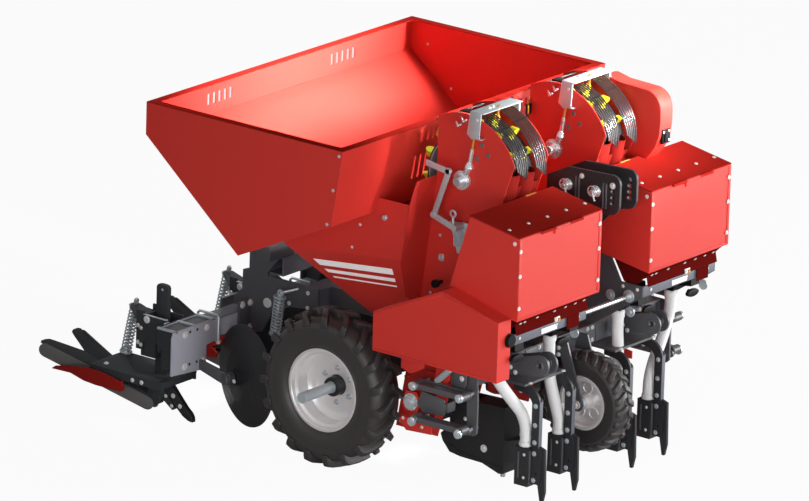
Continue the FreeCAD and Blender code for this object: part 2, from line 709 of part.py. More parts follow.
def fertiliser_lid(middle):
    """The sloping lid, with two knuckles that turn on the box's pin."""
    seat, thick = 1.0, 6
    points = [(S.box_back - 2, S.box_back_top + seat + 2 * box_slope),
              (S.box_front + 1, S.box_front_top + seat - box_slope),
              (S.box_front + 1, S.box_front_top + seat + thick - box_slope),
              (S.box_back - 2, S.box_back_top + seat + thick + 2 * box_slope)]
    pieces = [plate("lid_top", "XZ", points, S.box_width + 4, y=middle)]
    bores = [rod("lid_notch", S.hinge_radius + 1, knuckle + 1, hinge_x,
                 middle - (knuckle + 1) / 2, hinge_z)]
    for side in (LEFT, RIGHT):
        y = middle + side * (knuckle + 1) - knuckle / 2
        pieces.append(rod("lid_knuckle", S.hinge_radius, knuckle, hinge_x, y, hinge_z))
        bores.append(rod("lid_bore", pin_radius + S.running_gap, knuckle + 2, hinge_x, y - 1,
                         hinge_z))
        pieces.append(block("lid_leaf", (S.box_front - 8, hinge_x), (y, y + knuckle),
                            (hinge_z + 2, hinge_z + S.hinge_radius)))
    return cut("fertiliser_lid", fuse("lid_blank", pieces), bores)


def box_trough(middle):
    """The tapering trough under a box, with the flap plate near its left end."""
    wall, gap = S.box_wall, S.seat_gap
    back, front = 985, S.box_front - 4
    points = [(back, base_z(back) - gap), (front, base_z(front) - gap), (1140, 965), (1060, 965)]
    inside = [(back + 4, base_z(back) + 10), (front - 4, base_z(front) + 10), (1136, 950),
              (1064, 950)]
    width = S.box_width - 70
    shell = cut("trough_shell", plate("trough_body", "XZ", points, width, y=middle),
                [plate("trough_hollow", "XZ", inside, width - 2 * wall, y=middle)])
    flap = plate("flap", "YZ", [(140, 890), (235, 890), (235, 1012), (190, 1012), (140, 975)], 4,
                 x=1192, y=middle)
    return fuse("box_trough", [shell, flap])


def metering_outlets(middle, side):
    """The two metering outlets under a box, bored for the shaft; side points outwards."""
    points = [(1064, 964.7), (1136, 964.7), (1150, 850), (1050, 835), (1034, 798), (966, 798),
              (966, 850), (1040, 925)]
    outlets = []
    for offset in (190, -257):
        y = middle + side * offset
        outlets.append(plate("metering_outlet", "XZ", points, 70, [(1100, 896, 12 + S.seat_gap)],
                             y=y))
    return outlets


def box_stand(middle):
    """The stand between the toolbar and a box: two side plates and the plate across the front."""
    low = S.toolbar_z + S.tube / 2 + S.seat_gap
    back, front = S.toolbar_x - 46, S.toolbar_x + 46
    gap = S.seat_gap
    side = [(back, low), (front, low), (1183, 905), (1183, 962), (1048, 962), (975, base_z(975) - gap),
            (830, base_z(830) - gap)]
    width = S.box_width - 62
    pieces = []
    for turn in (LEFT, RIGHT):
        pieces.append(plate("stand_side", "XZ", side, 6, [(1100, 896, 12 + gap)],
                            y=middle + turn * width / 2))
    window = [(40, 922), (150, 922), (150, 948), (40, 948)]
    front_plate = plate("stand_front", "YZ", [(-width / 2, 905), (width / 2, 905), (width / 2, 962),
                                              (-width / 2, 962)], 6, [window], x=1180, y=middle)
    return fuse("box_stand", pieces + [front_plate])


def metering_shaft():
    """The shaft that turns the metering units of both boxes."""
    length = S.box_pitch + S.box_width - 24
    return rod("metering_shaft", 12, length, 1100, -length / 2, 896)


def drive_cover():
    """The flanged cover of the metering drive, on the machine's right side."""
    points = [(426, 749), (1201, 749), (1201, 1060), (848, 1148), (424, 952)]
    inside = [(430, 753), (1197, 753), (1197, 1057), (848.5, 1144), (428, 949.5)]
    inner = -(S.box_pitch + S.box_width) / 2 - S.seat_gap
    depth = 103
    shell = plate("cover_body", "XZ", points, depth, y=inner - depth / 2)
    hollow = plate("cover_hollow", "XZ", inside, depth, y=inner - depth / 2 + S.sheet)
    return cut("drive_cover", shell, [hollow])


def build_boxes():
    middles = (-S.box_pitch / 2, S.box_pitch / 2)
    troughs, outlets, stands = [], [], []
    for side, name, middle in zip((RIGHT, LEFT), ("right", "left"), middles):
        node(f"fertiliser_box_{name}", fertiliser_box(middle))
        node(f"fertiliser_lid_{name}", fertiliser_lid(middle))
        troughs.append(box_trough(middle))
        outlets += metering_outlets(middle, side)
        stands.append(box_stand(middle))
    node("box_troughs", group("box_troughs", troughs))
    node("metering_outlets", group("metering_outlets", outlets))
    node("box_stands", group("box_stands", stands))
    node("metering_shaft", metering_shaft())
    node("metering_drive_cover", drive_cover())


build_boxes()

# ---------------------------------------------------------------- frame

half_tube = S.tube / 2
between_arms = 2 * (S.arm_y - S.frame_plate / 2 - S.seat_gap)


def front_toolbar():
    return box_tube("front_toolbar", around(S.toolbar_x, S.tube), around(0, 2 * S.toolbar_half),
                    around(S.toolbar_z, S.tube), "y")


def frame_rails():
    rail = box_tube("frame_rail", (S.rear_cross_x + half_tube, S.toolbar_x - half_tube),
                    around(-S.rail_y, S.tube), around(S.toolbar_z, S.tube), "x")
    return both_sides("frame_rails", rail)


def rear_cross_tube():
    return box_tube("rear_cross_tube", around(S.rear_cross_x, S.tube), around(0, between_arms),
                    around(S.toolbar_z, S.tube), "y")


def axle_beam():
    beam_z = S.toolbar_z - S.tube
    return box_tube("axle_beam", around(0, S.tube), around(0, 2 * S.axle_beam_half),
                    around(beam_z, S.tube), "y")


def wheel_leg():
    """The upright plate at the axle beam's end, bored for the stub axle."""
    top = S.toolbar_z - half_tube
    wide = 60
    points = [(-wide, top), (wide, top), (wide, S.axle_z, wide), (0, S.axle_z - wide, wide),
              (-wide, S.axle_z)]
    return plate("wheel_leg", "XZ", points, S.frame_plate,
                 [(0, S.axle_z, S.axle_radius + S.seat_gap)],
                 y=-(S.axle_beam_half + S.frame_plate / 2 + S.seat_gap))


def wheel_axle():
    start = S.axle_beam_half - 32
    shoulder = S.track_half + S.hub_outer + 4
    seat = rod("axle_seat", S.axle_radius, shoulder - start, 0, -shoulder, S.axle_z)
    tip = rod("axle_tip", S.axle_tip_radius, S.axle_end - shoulder, 0, -S.axle_end, S.axle_z)
    return fuse("wheel_axle", [seat, tip])


disc_bar_x = S.rear_bar_x - S.disc_bar_back
disc_x = disc_bar_x + S.disc_reach
disc_bar_top = S.disc_bar_z + 25


def slope_z(x):
    """The height of the hopper's sloping floor, on its outside."""
    return S.hopper_slope_top - (as_size(x) - S.hopper_rear) * rear_fall


def rear_arm():
    """The tall plate from the rear cross tube and the rear toolbar up to the hopper's floor."""
    bar_x, bar_z, tube_x = S.rear_bar_x, S.rear_bar_z, S.cradle_x
    gap = S.seat_gap
    low = disc_bar_top + gap
    rail_top = S.toolbar_z + half_tube + 8
    rail_low = S.toolbar_z - half_tube - 5
    back, post_front = bar_x + 45, tube_x - 27
    reach = S.rear_cross_x + half_tube + 5
    points = [(back, slope_z(back) - gap), (post_front, slope_z(post_front) - gap),
              (post_front, S.cradle_z + 90), (tube_x + 45, S.cradle_z + 58),
              (tube_x - 40, rail_top + 20), (tube_x - 40, rail_top), (reach, rail_top),
              (reach, rail_low), (tube_x + 17, rail_low - 29), (tube_x - 37, bar_z),
              (bar_x + 135, low), (bar_x - 75, low), (bar_x - 75, bar_z + 75),
              (bar_x + 2, bar_z + 140), (bar_x + 4, S.cradle_z - 60), (back, S.cradle_z - 45)]
    arm = plate("rear_arm", "XZ", points, S.frame_plate,
                [window_round(bar_x, bar_z, S.tube)], y=-S.arm_y)
    across = around(-S.arm_y - 27, 150)
    front = bar_x + half_tube + gap
    rear = bar_x - half_tube - gap
    upright = (low, bar_z + 98)
    return fuse("rear_arm", [arm, block("arm_clamp", (front, front + 12), across, upright),
                             block("arm_clamp", (rear - 12, rear), across, upright)])


def window_round(x, z, width):
    """A square hole for a tube, with a fitting gap all round."""
    x = around(x, width + 2 * S.seat_gap)
    z = around(z, width + 2 * S.seat_gap)
    return [(x[0], z[0]), (x[1], z[0]), (x[1], z[1]), (x[0], z[1])]


def cradle_tube():
    return box_tube("cradle_tube", around(S.cradle_x, S.tube), around(0, between_arms),
                    around(S.cradle_z, S.tube), "y")


def rear_toolbar():
    return box_tube("rear_toolbar", around(S.rear_bar_x, S.tube), around(0, 2 * S.rear_bar_half),
                    around(S.rear_bar_z, S.tube), "y")


def headstock_plate():
    """One of the two plates that carry the top link, standing on the front toolbar."""
    low = S.toolbar_z + half_tube + S.seat_gap
    x = S.toolbar_x
    top_corner, low_corner, nose = 46, 55, 1246
    points = [(x - 46, low), (x - 46, 1540), (922, 1606), (nose - top_corner, 1618, top_corner),
              (nose, 1618 - top_corner), (nose, 1411 + low_corner, low_corner),
              (nose - low_corner, 1411), (1120, 1395), (x + 46, 1150), (x + 46, low)]
    holes = [(nose - 44, 1470 + step * 31.5, 12.9) for step in range(4)]
    return plate("headstock_plate", "XZ", points, S.frame_plate, holes, y=-S.mast_y)


def lower_hitch():
    """A pair of ears for the tractor's lower link, on a plate against the toolbar."""
    face = S.toolbar_x + half_tube + S.seat_gap
    pin_x, pin_z, eye = S.hitch_x, S.hitch_z, 56
    low = S.toolbar_z - half_tube + 7
    top = S.toolbar_z + half_tube - 5
    outline = [(face, low), (face, top), (pin_x - 22, pin_z + 51, eye), (pin_x + eye, pin_z, eye),
               (pin_x, pin_z - eye), (pin_x - 117, low + 22)]
    ears = [plate("hitch_ear", "XZ", outline, 12, [(pin_x, pin_z, S.hitch_bore)], y=-y)
            for y in (430, 500)]
    back = block("hitch_back", (face, face + 12), (-506, -424), (low, top))
    return fuse("lower_hitch", ears + [back])


def build_frame():
    node("front_toolbar", front_toolbar())
    node("frame_rails", frame_rails())
    node("rear_cross_tube", rear_cross_tube())
    node("axle_beam", axle_beam())
    node("wheel_legs", both_sides("wheel_legs", wheel_leg()))
    node("wheel_axles", both_sides("wheel_axles", wheel_axle()))
    node("rear_arms", both_sides("rear_arms", rear_arm()))
    node("cradle_tube", cradle_tube())
    node("rear_toolbar", rear_toolbar())
    node("headstock_plates", both_sides("headstock_plates", headstock_plate()))
    node("lower_hitches", both_sides("lower_hitches", lower_hitch()))


build_frame()

# ---------------------------------------------------------------- parallel linkage

link_rear, link_front = 637, 928
link_high, link_low = 595, 409
link_pin = 9


def link_places():
    return [(x, z) for x in (link_rear, link_front) for z in (link_high, link_low)]


def unit_carrier():
    """The plate at the linkage's rear, and the tube that reaches from it to the planting unit."""
    holes = [(link_rear, z, link_pin + S.seat_gap) for z in (link_high, link_low)]
    points = [(480, 465), (600, 370), (672, 370), (684, 480), (684, 560), (672, 640), (600, 640),
              (480, 555)]
    outer = S.toolbar_half - 10
    side = plate("carrier_plate", "XZ", points, 12, holes, y=-(outer - 6))
    start = S.row_offset + half_unit + S.seat_gap
    tube = block("carrier_tube", (500, 560), (-(outer - 6), -start), (480, 540))
    return fuse("unit_carrier", [side, tube])


def coupler_plate():
    """The plate on the front toolbar's end that holds the linkage's front pins."""
    top = S.toolbar_z + half_tube
    points = [(S.toolbar_x - half_tube, top), (950, top), (958, 560), (958, 390), (940, 374),
              (900, 374), (890, 580), (S.toolbar_x - half_tube, S.toolbar_z - half_tube)]
    holes = [(link_front, z, link_pin + S.seat_gap) for z in (link_high, link_low)]
    return plate("coupler_plate", "XZ", points, 12, holes, y=-(S.toolbar_half + 6 + S.seat_gap))


def parallel_link(z):
    """A flat link with rounded ends."""
    half = 22
    points = [(link_rear, z + half), (link_front, z + half, half), (link_front + half, z, half),
              (link_front, z - half), (link_rear, z - half, half), (link_rear - half, z, half)]
    holes = [(x, z, link_pin + S.seat_gap) for x in (link_rear, link_front)]
    return plate("parallel_link", "XZ", points, 12, holes, y=-846)


def link_pins():
    pins = []
    for x, z in link_places():
        bolt = rod("link_pin", link_pin, 926 - 765, x, -926, z)
        cap = rod("link_cap", 22, 14, x, -926, z)
        pins.append(fuse("capped_pin", [bolt, cap]))
    return pins


def build_linkage():
    node("unit_carriers", both_sides("unit_carriers", unit_carrier()))
    node("coupler_plates", both_sides("coupler_plates", coupler_plate()))
    links = group("right_links", [parallel_link(z) for z in (link_high, link_low)])
    node("parallel_links", both_sides("parallel_links", links))
    pins = group("right_pins", link_pins())
    node("link_pins", both_sides("link_pins", pins))


build_linkage()

# ---------------------------------------------------------------- fertiliser coulters

boot_x = (1002, 1085)
inner_hose_y = 285
outer_hose_y = 732


def coulter(y):
    """A shank with its cutting blade and, behind it, the open boot that the hose enters."""
    shank = plate("coulter_shank", "XZ",
                  [(S.coulter_front, 90), (S.coulter_front, 500, -95), (1050, holder_low),
                   (960, holder_low), (960, 558), (1030, 552, 75), (1085, 490), (1085, 90)],
                  15, [(1107, 190, 8)], y=y)
    tip = S.coulter_tip_x
    blade = plate("coulter_blade", "XZ",
                  [(S.coulter_front - 1, 293), (tip + 8, 280), (tip + 14, 60), (tip, 0),
                   (tip - 14, 0), (S.coulter_front - 1, 90)], 15, y=y)
    boot = block("coulter_boot", boot_x, around(y, 66), (75, 277))
    inside = block("boot_inside", (boot_x[0] + 4, boot_x[1] - 4), around(y, 58), (60, 290))
    return fuse("coulter", [shank, blade, cut("boot_shell", boot, [inside])])


holder_top = S.toolbar_z - half_tube - S.seat_gap
holder_low = holder_top - 12 - S.seat_gap


def coulter_holder(middle, side):
    """The plate under the toolbar that carries two coulters, pierced for the inner hose."""
    half = 168
    points = [(S.toolbar_x - half_tube, -half), (1050, -half), (1050, half),
              (S.toolbar_x - half_tube, half)]
    hose_y = side * inner_hose_y - middle
    return plate("coulter_holder", "XY", points, 12, [(1006, hose_y, S.hose_radius + 3)],
                 y=middle, z=holder_top - 6)


def rounded_path(points):
    """Straight runs joined by arcs; each arc is as large as its two runs allow."""
    edges = []
    start = points[0]
    for before, corner, after in zip(points, points[1:], points[2:]):
        back = (before - corner).normalize()
        ahead = (after - corner).normalize()
        reach = 0.45 * min((before - corner).Length, (after - corner).Length)
        enter, leave = corner + back * reach, corner + ahead * reach
        turn = math.pi - back.getAngle(ahead)
        radius = reach / math.tan(turn / 2)
        centre = corner + (back + ahead).normalize() * (radius / math.cos(turn / 2))
        crown = centre + (corner - centre).normalize() * radius
        edges.append(Part.LineSegment(start, enter).toShape())
        edges.append(Part.Arc(enter, crown, leave).toShape())
        start = leave
    edges.append(Part.LineSegment(start, points[-1]).toShape())
    return Part.Wire(edges)


def hose(points, radius):
    """A solid round tube along a rounded path."""
    path = rounded_path([Vector(*[float(v) for v in point]) for point in points])
    start = Vector(*[float(v) for v in points[0]])
    way = Vector(*[float(v) for v in points[1]]) - start
    ring = Part.Wire([Part.Circle(start, way, float(radius)).toShape()])
    tube = doc.addObject("Part::Feature", unique("hose"))
    tube.Shape = path.makePipeShell([ring], True, False)
    return tube


def build_coulters():
    coulters, holders, hoses = [], [], []
    top, end = 797.7, 277.3
    for side in (RIGHT, LEFT):
        middle = side * S.row_offset
        coulters += [coulter(middle - S.coulter_spread), coulter(middle + S.coulter_spread)]
        holders.append(coulter_holder(middle, side))
        inner = side * (S.row_offset - S.coulter_spread)
        outer = side * (S.row_offset + S.coulter_spread)
        inside, outside = side * inner_hose_y, side * outer_hose_y
        hoses.append(hose([(1000, inside, top), (1000, inside, 690), (1008, inside, 570),
                           (1036, inner + side * 24, 430), (1044, inner, 350),
                           (1044, inner, end)], S.hose_radius))
        hoses.append(hose([(1000, outside, top), (1000, outside, 690), (1022, side * 650, 575),
                           (1040, outer + side * 34, 455), (1044, outer, 370),
                           (1044, outer, end)], S.hose_radius))
    node("fertiliser_coulters", group("fertiliser_coulters", coulters))
    node("coulter_holders", group("coulter_holders", holders))
    node("fertiliser_hoses", group("fertiliser_hoses", hoses))


build_coulters()

# ---------------------------------------------------------------- wheels


def tyre_section(radius, half_width, seat, flange, half_rim, wall):
    """A hollow tyre section as (along the axle, radius) points, with its beads on the rim."""
    gap = S.seat_gap
    bead = half_rim - 4 - gap
    outer = [(bead, seat + gap), (bead, flange + gap), (half_width - 4, flange + 22),
             (half_width, (radius + flange) / 2 + 4), (half_width - 9, radius - 14),
             (half_width - 24, radius)]
    inner = [(half_width - 24 - wall / 2, radius - 1.6 * wall),
             (half_width - wall, (radius + flange) / 2 + 4), (half_width - 1.4 * wall, flange + 26),
             (bead - wall, flange - 4), (bead - wall, seat + gap)]
    right = outer + inner
    other = [(-along, size) for along, size in right]
    return other[:6] + right[:6][::-1] + right[6:][::-1] + other[6:]


def rim_section(seat, flange, half_rim, disc, hub_radius, hub, bore):
    """A one-piece rim: barrel, flanges, wheel disc and bored hub."""
    sheet = S.sheet
    return [(-half_rim, seat - sheet), (-half_rim, flange), (sheet - half_rim, flange),
            (sheet - half_rim, seat), (half_rim - sheet, seat), (half_rim - sheet, flange),
            (half_rim, flange), (half_rim, seat - sheet), (disc + 4, seat - sheet),
            (disc + 4, hub_radius), (hub[1], hub_radius), (hub[1], bore), (hub[0], bore),
            (hub[0], hub_radius), (disc - 4, hub_radius), (disc - 4, seat - sheet)]


def main_wheel():
    half_rim = S.rim_width_in / 2
    tyre = turned("main_tyre", tyre_section(S.tyre_radius, S.tyre_width / 2, S.rim_seat,
                                            S.rim_flange, half_rim, 16),
                  y=-S.track_half, z=S.axle_z)
    rim = turned("main_rim", rim_section(S.rim_seat, S.rim_flange, half_rim, as_size(50),
                                         S.hub_radius, (-S.hub_outer, S.hub_inner),
                                         S.axle_radius + S.running_gap),
                 y=-S.track_half, z=S.axle_z)
    return tyre, rim


def front_wheel():
    half_rim = S.front_tyre_width / 2 - 12
    tyre = turned("front_tyre", tyre_section(S.front_tyre_radius, S.front_tyre_width / 2,
                                             S.front_rim_seat, S.front_rim_flange, half_rim, 12),
                  x=S.front_wheel_x, z=S.front_wheel_z)
    rim = turned("front_rim", rim_section(S.front_rim_seat, S.front_rim_flange, half_rim,
                                          as_size(0), 32, (-72, 72),
                                          S.front_axle_radius + S.running_gap),
                 x=S.front_wheel_x, z=S.front_wheel_z)
    return tyre, rim


def front_fork():
    """Two arms from the toolbar to the front wheel's axle, with the axle between them."""
    face = S.toolbar_x + half_tube + S.seat_gap
    x, z = S.front_wheel_x, S.front_wheel_z
    low = S.toolbar_z - half_tube + 7
    top = S.toolbar_z + half_tube - 7
    outline = [(face, low), (face, top), (965, top), (x + 34, z + 10, 36), (x, z - 35, 36),
               (x - 34, z + 10), (930, low)]
    arms = [plate("fork_arm", "XZ", outline, 10, y=side * 85) for side in (LEFT, RIGHT)]
    axle = rod("front_axle", S.front_axle_radius, 200, x, -100, z)
    tie = block("fork_tie", (face, face + 10), (-90, 90), (top - 38, top))
    return fuse("front_fork", arms + [axle, tie])


def build_wheels():
    tyre, rim = main_wheel()
    node("main_tyre_right", tyre)
    node("main_rim_right", rim)
    node("main_tyre_left", mirrored("main_tyre_left", tyre))
    node("main_rim_left", mirrored("main_rim_left", rim))
    tyre, rim = front_wheel()
    node("front_tyre", tyre)
    node("front_rim", rim)
    node("front_fork", front_fork())


build_wheels()

# ---------------------------------------------------------------- covering discs and ridgers

disc_axle = 15


def disc(y, toe):
    """A dished covering disc with its bored hub, turned out of line by the toe angle."""
    deep, thick = 42, 5
    edge = S.disc_radius
    hub, hub_length = 42, 34
    knee_x, knee = deep * 0.28, edge * 0.55
    bore = disc_axle + S.running_gap
    points = [(-hub_length, bore), (-hub_length, hub), (0, hub), (knee_x, knee), (deep, edge),
              (deep + thick, edge), (knee_x + thick, knee), (thick, hub), (thick, bore)]
    return turned("covering_disc", points, x=disc_x, y=y, z=S.disc_z,
                  rotation=Rotation(Vector(0, 0, 1), float(toe)))


def disc_frame():
    """The lateral bar with an arm and a stub axle for each disc."""
    bar = block("disc_bar", around(disc_bar_x, 50), around(0, 1630), around(S.disc_bar_z, 50))
    low = S.disc_bar_z - 25
    pieces = [bar]
    for row in (RIGHT, LEFT):
        for turn in (RIGHT, LEFT):
            y = row * S.row_offset + turn * S.disc_offset
            toe = math.radians(float(S.disc_toe))
            away = Vector(math.sin(toe), -turn * math.cos(toe), 0) * 78
            arm_x, arm_y = disc_x - away.x, y - away.y
            outline = [(disc_bar_x - 25, low + 1), (disc_bar_x + 25, low + 1),
                       (arm_x + 22, S.disc_z + 26), (arm_x + 22, S.disc_z - 24),
                       (arm_x - 22, S.disc_z - 24), (disc_bar_x - 25, low - 40)]
            pieces.append(plate("disc_arm", "XZ", outline, 14, y=arm_y))
            pieces.append(rod("disc_stub", disc_axle, 98, arm_x, arm_y, S.disc_z, axis=away))
    return fuse("disc_frame", pieces)


spring_seat_z = 506
spring_offset = 119
spring_lean = 55
hood_length = 640
hood_half = 163


def ridger(y):
    """A ridging body: clamp on the rear toolbar, post, deck plate, V-shaped hood and a tine."""
    bar_back = S.rear_bar_x - half_tube
    bar_front = S.rear_bar_x + half_tube
    bar_top = S.rear_bar_z + half_tube
    gap = S.seat_gap
    deck = S.ridger_deck_z
    half = 125
    clamp = [block("clamp_top", (bar_back - 12, bar_front + 12), (y - half, y + half),
                   (bar_top + gap, bar_top + 12)),
             block("clamp_front", (bar_front + gap, bar_front + 12), (y - half, y + half),
                   (S.rear_bar_z - 105, bar_top + 12)),
             block("clamp_back", (bar_back - 12, bar_back - gap), (y - half, y + half),
                   (S.rear_bar_z - 80, bar_top + 12))]
    housing = block("ridger_housing", (bar_back - 178, bar_back - 11), (y - 70, y + 70),
                    (S.rear_bar_z - 70, S.rear_bar_z + 70))
    post = block("ridger_post", (bar_back - 140, bar_back - 62), (y - 8, y + 8), (deck, 704))
    arm = block("spring_arm", (bar_back - 351, bar_back - 62), (y + 6, y + 34),
                (spring_seat_z - 16, spring_seat_z + 14))
    seat = block("spring_seat", (bar_back - 415, bar_back - 350),
                 (y + 6, y + spring_offset + 30), (spring_seat_z, spring_seat_z + 14))
    plate_deck = block("ridger_deck", (bar_back - 468, bar_back + 13), (y - 140, y + 140),
                       (deck - 14, deck + 14))
    bar = S.rear_bar_x
    tine = plate("ridger_tine", "XZ",
                 [(bar - 230, deck - 10), (bar - 110, deck - 10), (bar + 66, 34), (bar + 50, 12),
                  (bar, 30), (bar - 230, 70)], 56, y=y)
    return fuse("ridger", clamp + [housing, post, arm, seat, plate_deck, tine] + hood(y))


def hood(y):
    """The two skirts and the sloping roof between them, which part behind a notch."""
    tip_x, tip_z = S.rear_bar_x - 202, 104
    rise = math.degrees(math.atan2(186, hood_length))
    spread = math.degrees(math.atan2(hood_half - 22, hood_length))
    notch = 473
    outline = [(0, 22), (0, -22), (-hood_length, -hood_half), (-hood_length, -62), (-notch, 0),
               (-hood_length, 62), (-hood_length, hood_half)]
    pieces = [plate("hood_roof", "XY", outline, 8, x=tip_x, y=y, z=tip_z,
                    rotation=Rotation(Vector(0, 1, 0), rise))]
    skirt = [(0, 12), (0, 104), (hood_length + 6, 290), (hood_length + 6, 215), (60, 12)]
    for turn in (LEFT, RIGHT):
        pieces.append(plate("hood_skirt", "XZ", skirt, 8, x=tip_x, y=y + turn * 22,
                            rotation=Rotation(Vector(0, 0, 1), 180 - turn * spread)))
    return pieces


def ridger_spring(y):
    """The outer shape of the leaning compression spring between the deck and its seat."""
    base = S.rear_bar_x - half_tube - 438
    low = S.ridger_deck_z + 14
    start = (base, y + spring_offset, low + 6)
    end = (base + spring_lean, y + spring_offset, spring_seat_z - 6)
    foot = rod("spring_foot", 14, 12, base, y + spring_offset, low + S.seat_gap, axis="z")
    head = rod("spring_head", 14, 12, base + spring_lean, y + spring_offset,
               spring_seat_z - 12 - S.seat_gap, axis="z")
    return fuse("ridger_spring", [strut("spring_body", 28, start, end), foot, head])


def build_soil_tools():
    for row_name, row in (("right", RIGHT), ("left", LEFT)):
        for place_name, turn in (("outer", row), ("inner", -row)):
            y = row * S.row_offset + turn * S.disc_offset
            toe = -S.disc_toe if turn == RIGHT else S.disc_toe + 180
            node(f"covering_disc_{row_name}_{place_name}", disc(y, toe))
    node("disc_frame", disc_frame())
    ridge_lines = (-S.ridger_pitch, as_size(0), S.ridger_pitch)
    node("ridgers", group("ridgers", [ridger(y) for y in ridge_lines]))
    node("ridger_springs", group("ridger_springs", [ridger_spring(y) for y in ridge_lines]))


build_soil_tools()


def finish():
    """Recomputes, checks every object, and writes each sub-part to its own file."""
    doc.recompute()
    for item in doc.Objects:
        if "Invalid" in item.State or "Error" in item.State:
            raise RuntimeError(f"{item.Label} ({item.TypeId}) didn't compute: {item.State}")
    for name, item in made.items():
        if item.Shape.isNull() or not item.Shape.isValid() or not item.Shape.Solids:
            raise RuntimeError(f"{name} has no valid solid")
    os.makedirs("parts", exist_ok=True)
    for name, item in made.items():
        item.Shape.exportStep(f"parts/{name}.step")
        box = item.Shape.BoundBox
        print(f"{name}: {len(item.Shape.Solids)} solids, {item.Shape.Volume / 1e6:.1f} l, "
              f"X {box.XMin:.0f}..{box.XMax:.0f} Y {box.YMin:.0f}..{box.YMax:.0f} "
              f"Z {box.ZMin:.0f}..{box.ZMax:.0f}")


finish()
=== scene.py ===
"""The looks of a two-row mounted cup-belt potato planter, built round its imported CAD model.

The machine's own frame holds everywhere: X forward, Y to the left, Z up, with the origin on the
ground under the axle of the main wheels. Shapes are drawn in millimetres and made in metres.
"""
import json
import math
import bmesh
import bpy
from mathutils import Matrix, Vector


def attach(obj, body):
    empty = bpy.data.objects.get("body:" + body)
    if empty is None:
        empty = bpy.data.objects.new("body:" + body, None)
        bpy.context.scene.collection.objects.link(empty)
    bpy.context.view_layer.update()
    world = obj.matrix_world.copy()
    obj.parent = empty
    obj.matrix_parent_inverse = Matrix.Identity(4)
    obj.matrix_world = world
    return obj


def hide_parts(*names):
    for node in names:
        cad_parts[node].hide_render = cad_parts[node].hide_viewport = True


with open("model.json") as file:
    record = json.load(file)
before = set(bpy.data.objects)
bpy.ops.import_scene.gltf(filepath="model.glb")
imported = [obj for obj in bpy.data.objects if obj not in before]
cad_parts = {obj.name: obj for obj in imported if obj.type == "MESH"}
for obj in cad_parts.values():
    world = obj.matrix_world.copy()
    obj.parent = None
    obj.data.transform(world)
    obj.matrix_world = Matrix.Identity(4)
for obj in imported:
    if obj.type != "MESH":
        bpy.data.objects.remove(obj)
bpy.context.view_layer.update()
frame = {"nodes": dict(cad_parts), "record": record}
nodes = frame["nodes"]
MM = 0.001
SIDES = RIGHT, LEFT = -1, 1
FORWARD, BACKWARD, UP, DOWN = (1, 0, 0), (-1, 0, 0), (0, 0, 1), (0, 0, -1)
OUT, IN = (0, -1, 0), (0, 1, 0)
FRAME = "planter_frame"
# An edge that turns by more than this is rounded.
SHARP = math.radians(35)
# Where things that repeat stand across the machine, as offsets in Y.
HERE, UNITS, BOXES, RIDGERS = (0,), (-375, 375), (-542, 542), (-750, 0, 750)
COULTERS = (-510, -240, 240, 510)


class Tree:
    """A node tree that is drawn with one call for each node."""

    def __init__(self, tree, prefix="ShaderNode"):
        self.tree, self.prefix = tree, prefix

    def __call__(self, kind, values=None, out=0, **settings):
        """Adds a node, sets it, feeds its inputs and returns one of its outputs."""
        own = hasattr(bpy.types, self.prefix + kind)
        node = self.tree.nodes.new(self.prefix + kind if own else kind)
        for label, value in settings.items():
            setattr(node, label, value)
        self.feed(node, values or {})
        return node.outputs[out] if node.outputs else node

    def feed(self, node, values):
        """Links sockets to a node's inputs, by name or number, or sets plain values there."""
        for label, value in values.items():
            for item in value if isinstance(value, list) else [value]:
                if isinstance(item, bpy.types.NodeSocket):
                    self.tree.links.new(item, node.inputs[label])
                else:
                    node.inputs[label].default_value = item

    def sums(self, operation, *values):
        """One arithmetic step on sockets or numbers."""
        return self("ShaderNodeMath", dict(enumerate(values)), operation=operation)

    def span(self, value, low, high):
        """Maps a span of a value to 0 to 1, without going past its ends."""
        return self("MapRange", {"Value": value, "From Min": low, "From Max": high}, "Result")

    def mix(self, factor, first, second, way="MIX"):
        """A colour between two, each a socket or a colour."""
        return self("Mix", {0: factor, 6: first, 7: second}, 2, data_type="RGBA", blend_type=way)

    def noise(self, scale, detail=4.0, stretch=(1, 1, 1)):
        """Noise over the machine's own coordinates."""
        place = self("Mapping", {"Scale": stretch, "Vector": self("TexCoord", out="Object")})
        return self("TexNoise", {"Vector": place, "Scale": scale, "Detail": detail}, "Fac")


# ------------------------------------------------------------------ camera, light and floor

LENS, SENSOR, WIDTH_SEEN, LOOK_AT = 400, 36, 4.101, Vector((-0.146, 0, 0.918))
WHITE = (1, 1, 1, 1)


def put(item):
    """Links an object to the scene."""
    bpy.context.scene.collection.objects.link(item)
    return item


def make_camera():
    """A long lens from the front right, turned a little about its own axis."""
    right = Vector((0.7868, 0.6165, 0.0300))
    up = Vector((-0.2073, 0.2183, 0.9536))
    back = right.cross(up).normalized()
    right = up.cross(back).normalized()
    data = bpy.data.cameras.new("camera")
    data.lens, data.sensor_width, data.clip_start, data.clip_end = LENS, SENSOR, 1, 200
    camera = put(bpy.data.objects.new("camera", data))
    turn = Matrix((right, back.cross(right), back)).transposed().to_4x4()
    turn.translation = LOOK_AT + back * WIDTH_SEEN * LENS / SENSOR
    camera.matrix_world = turn
    bpy.context.scene.camera = camera


def area_lamp(name, place, target, size, power, spread=180):
    """A large square lamp that faces a target."""
    data = bpy.data.lights.new(name, "AREA")
    data.size, data.energy, data.spread = size, power, math.radians(spread)
    lamp = put(bpy.data.objects.new(name, data))
    lamp.location = place
    lamp.rotation_euler = (Vector(target) - Vector(place)).to_track_quat("-Z", "Y").to_euler()


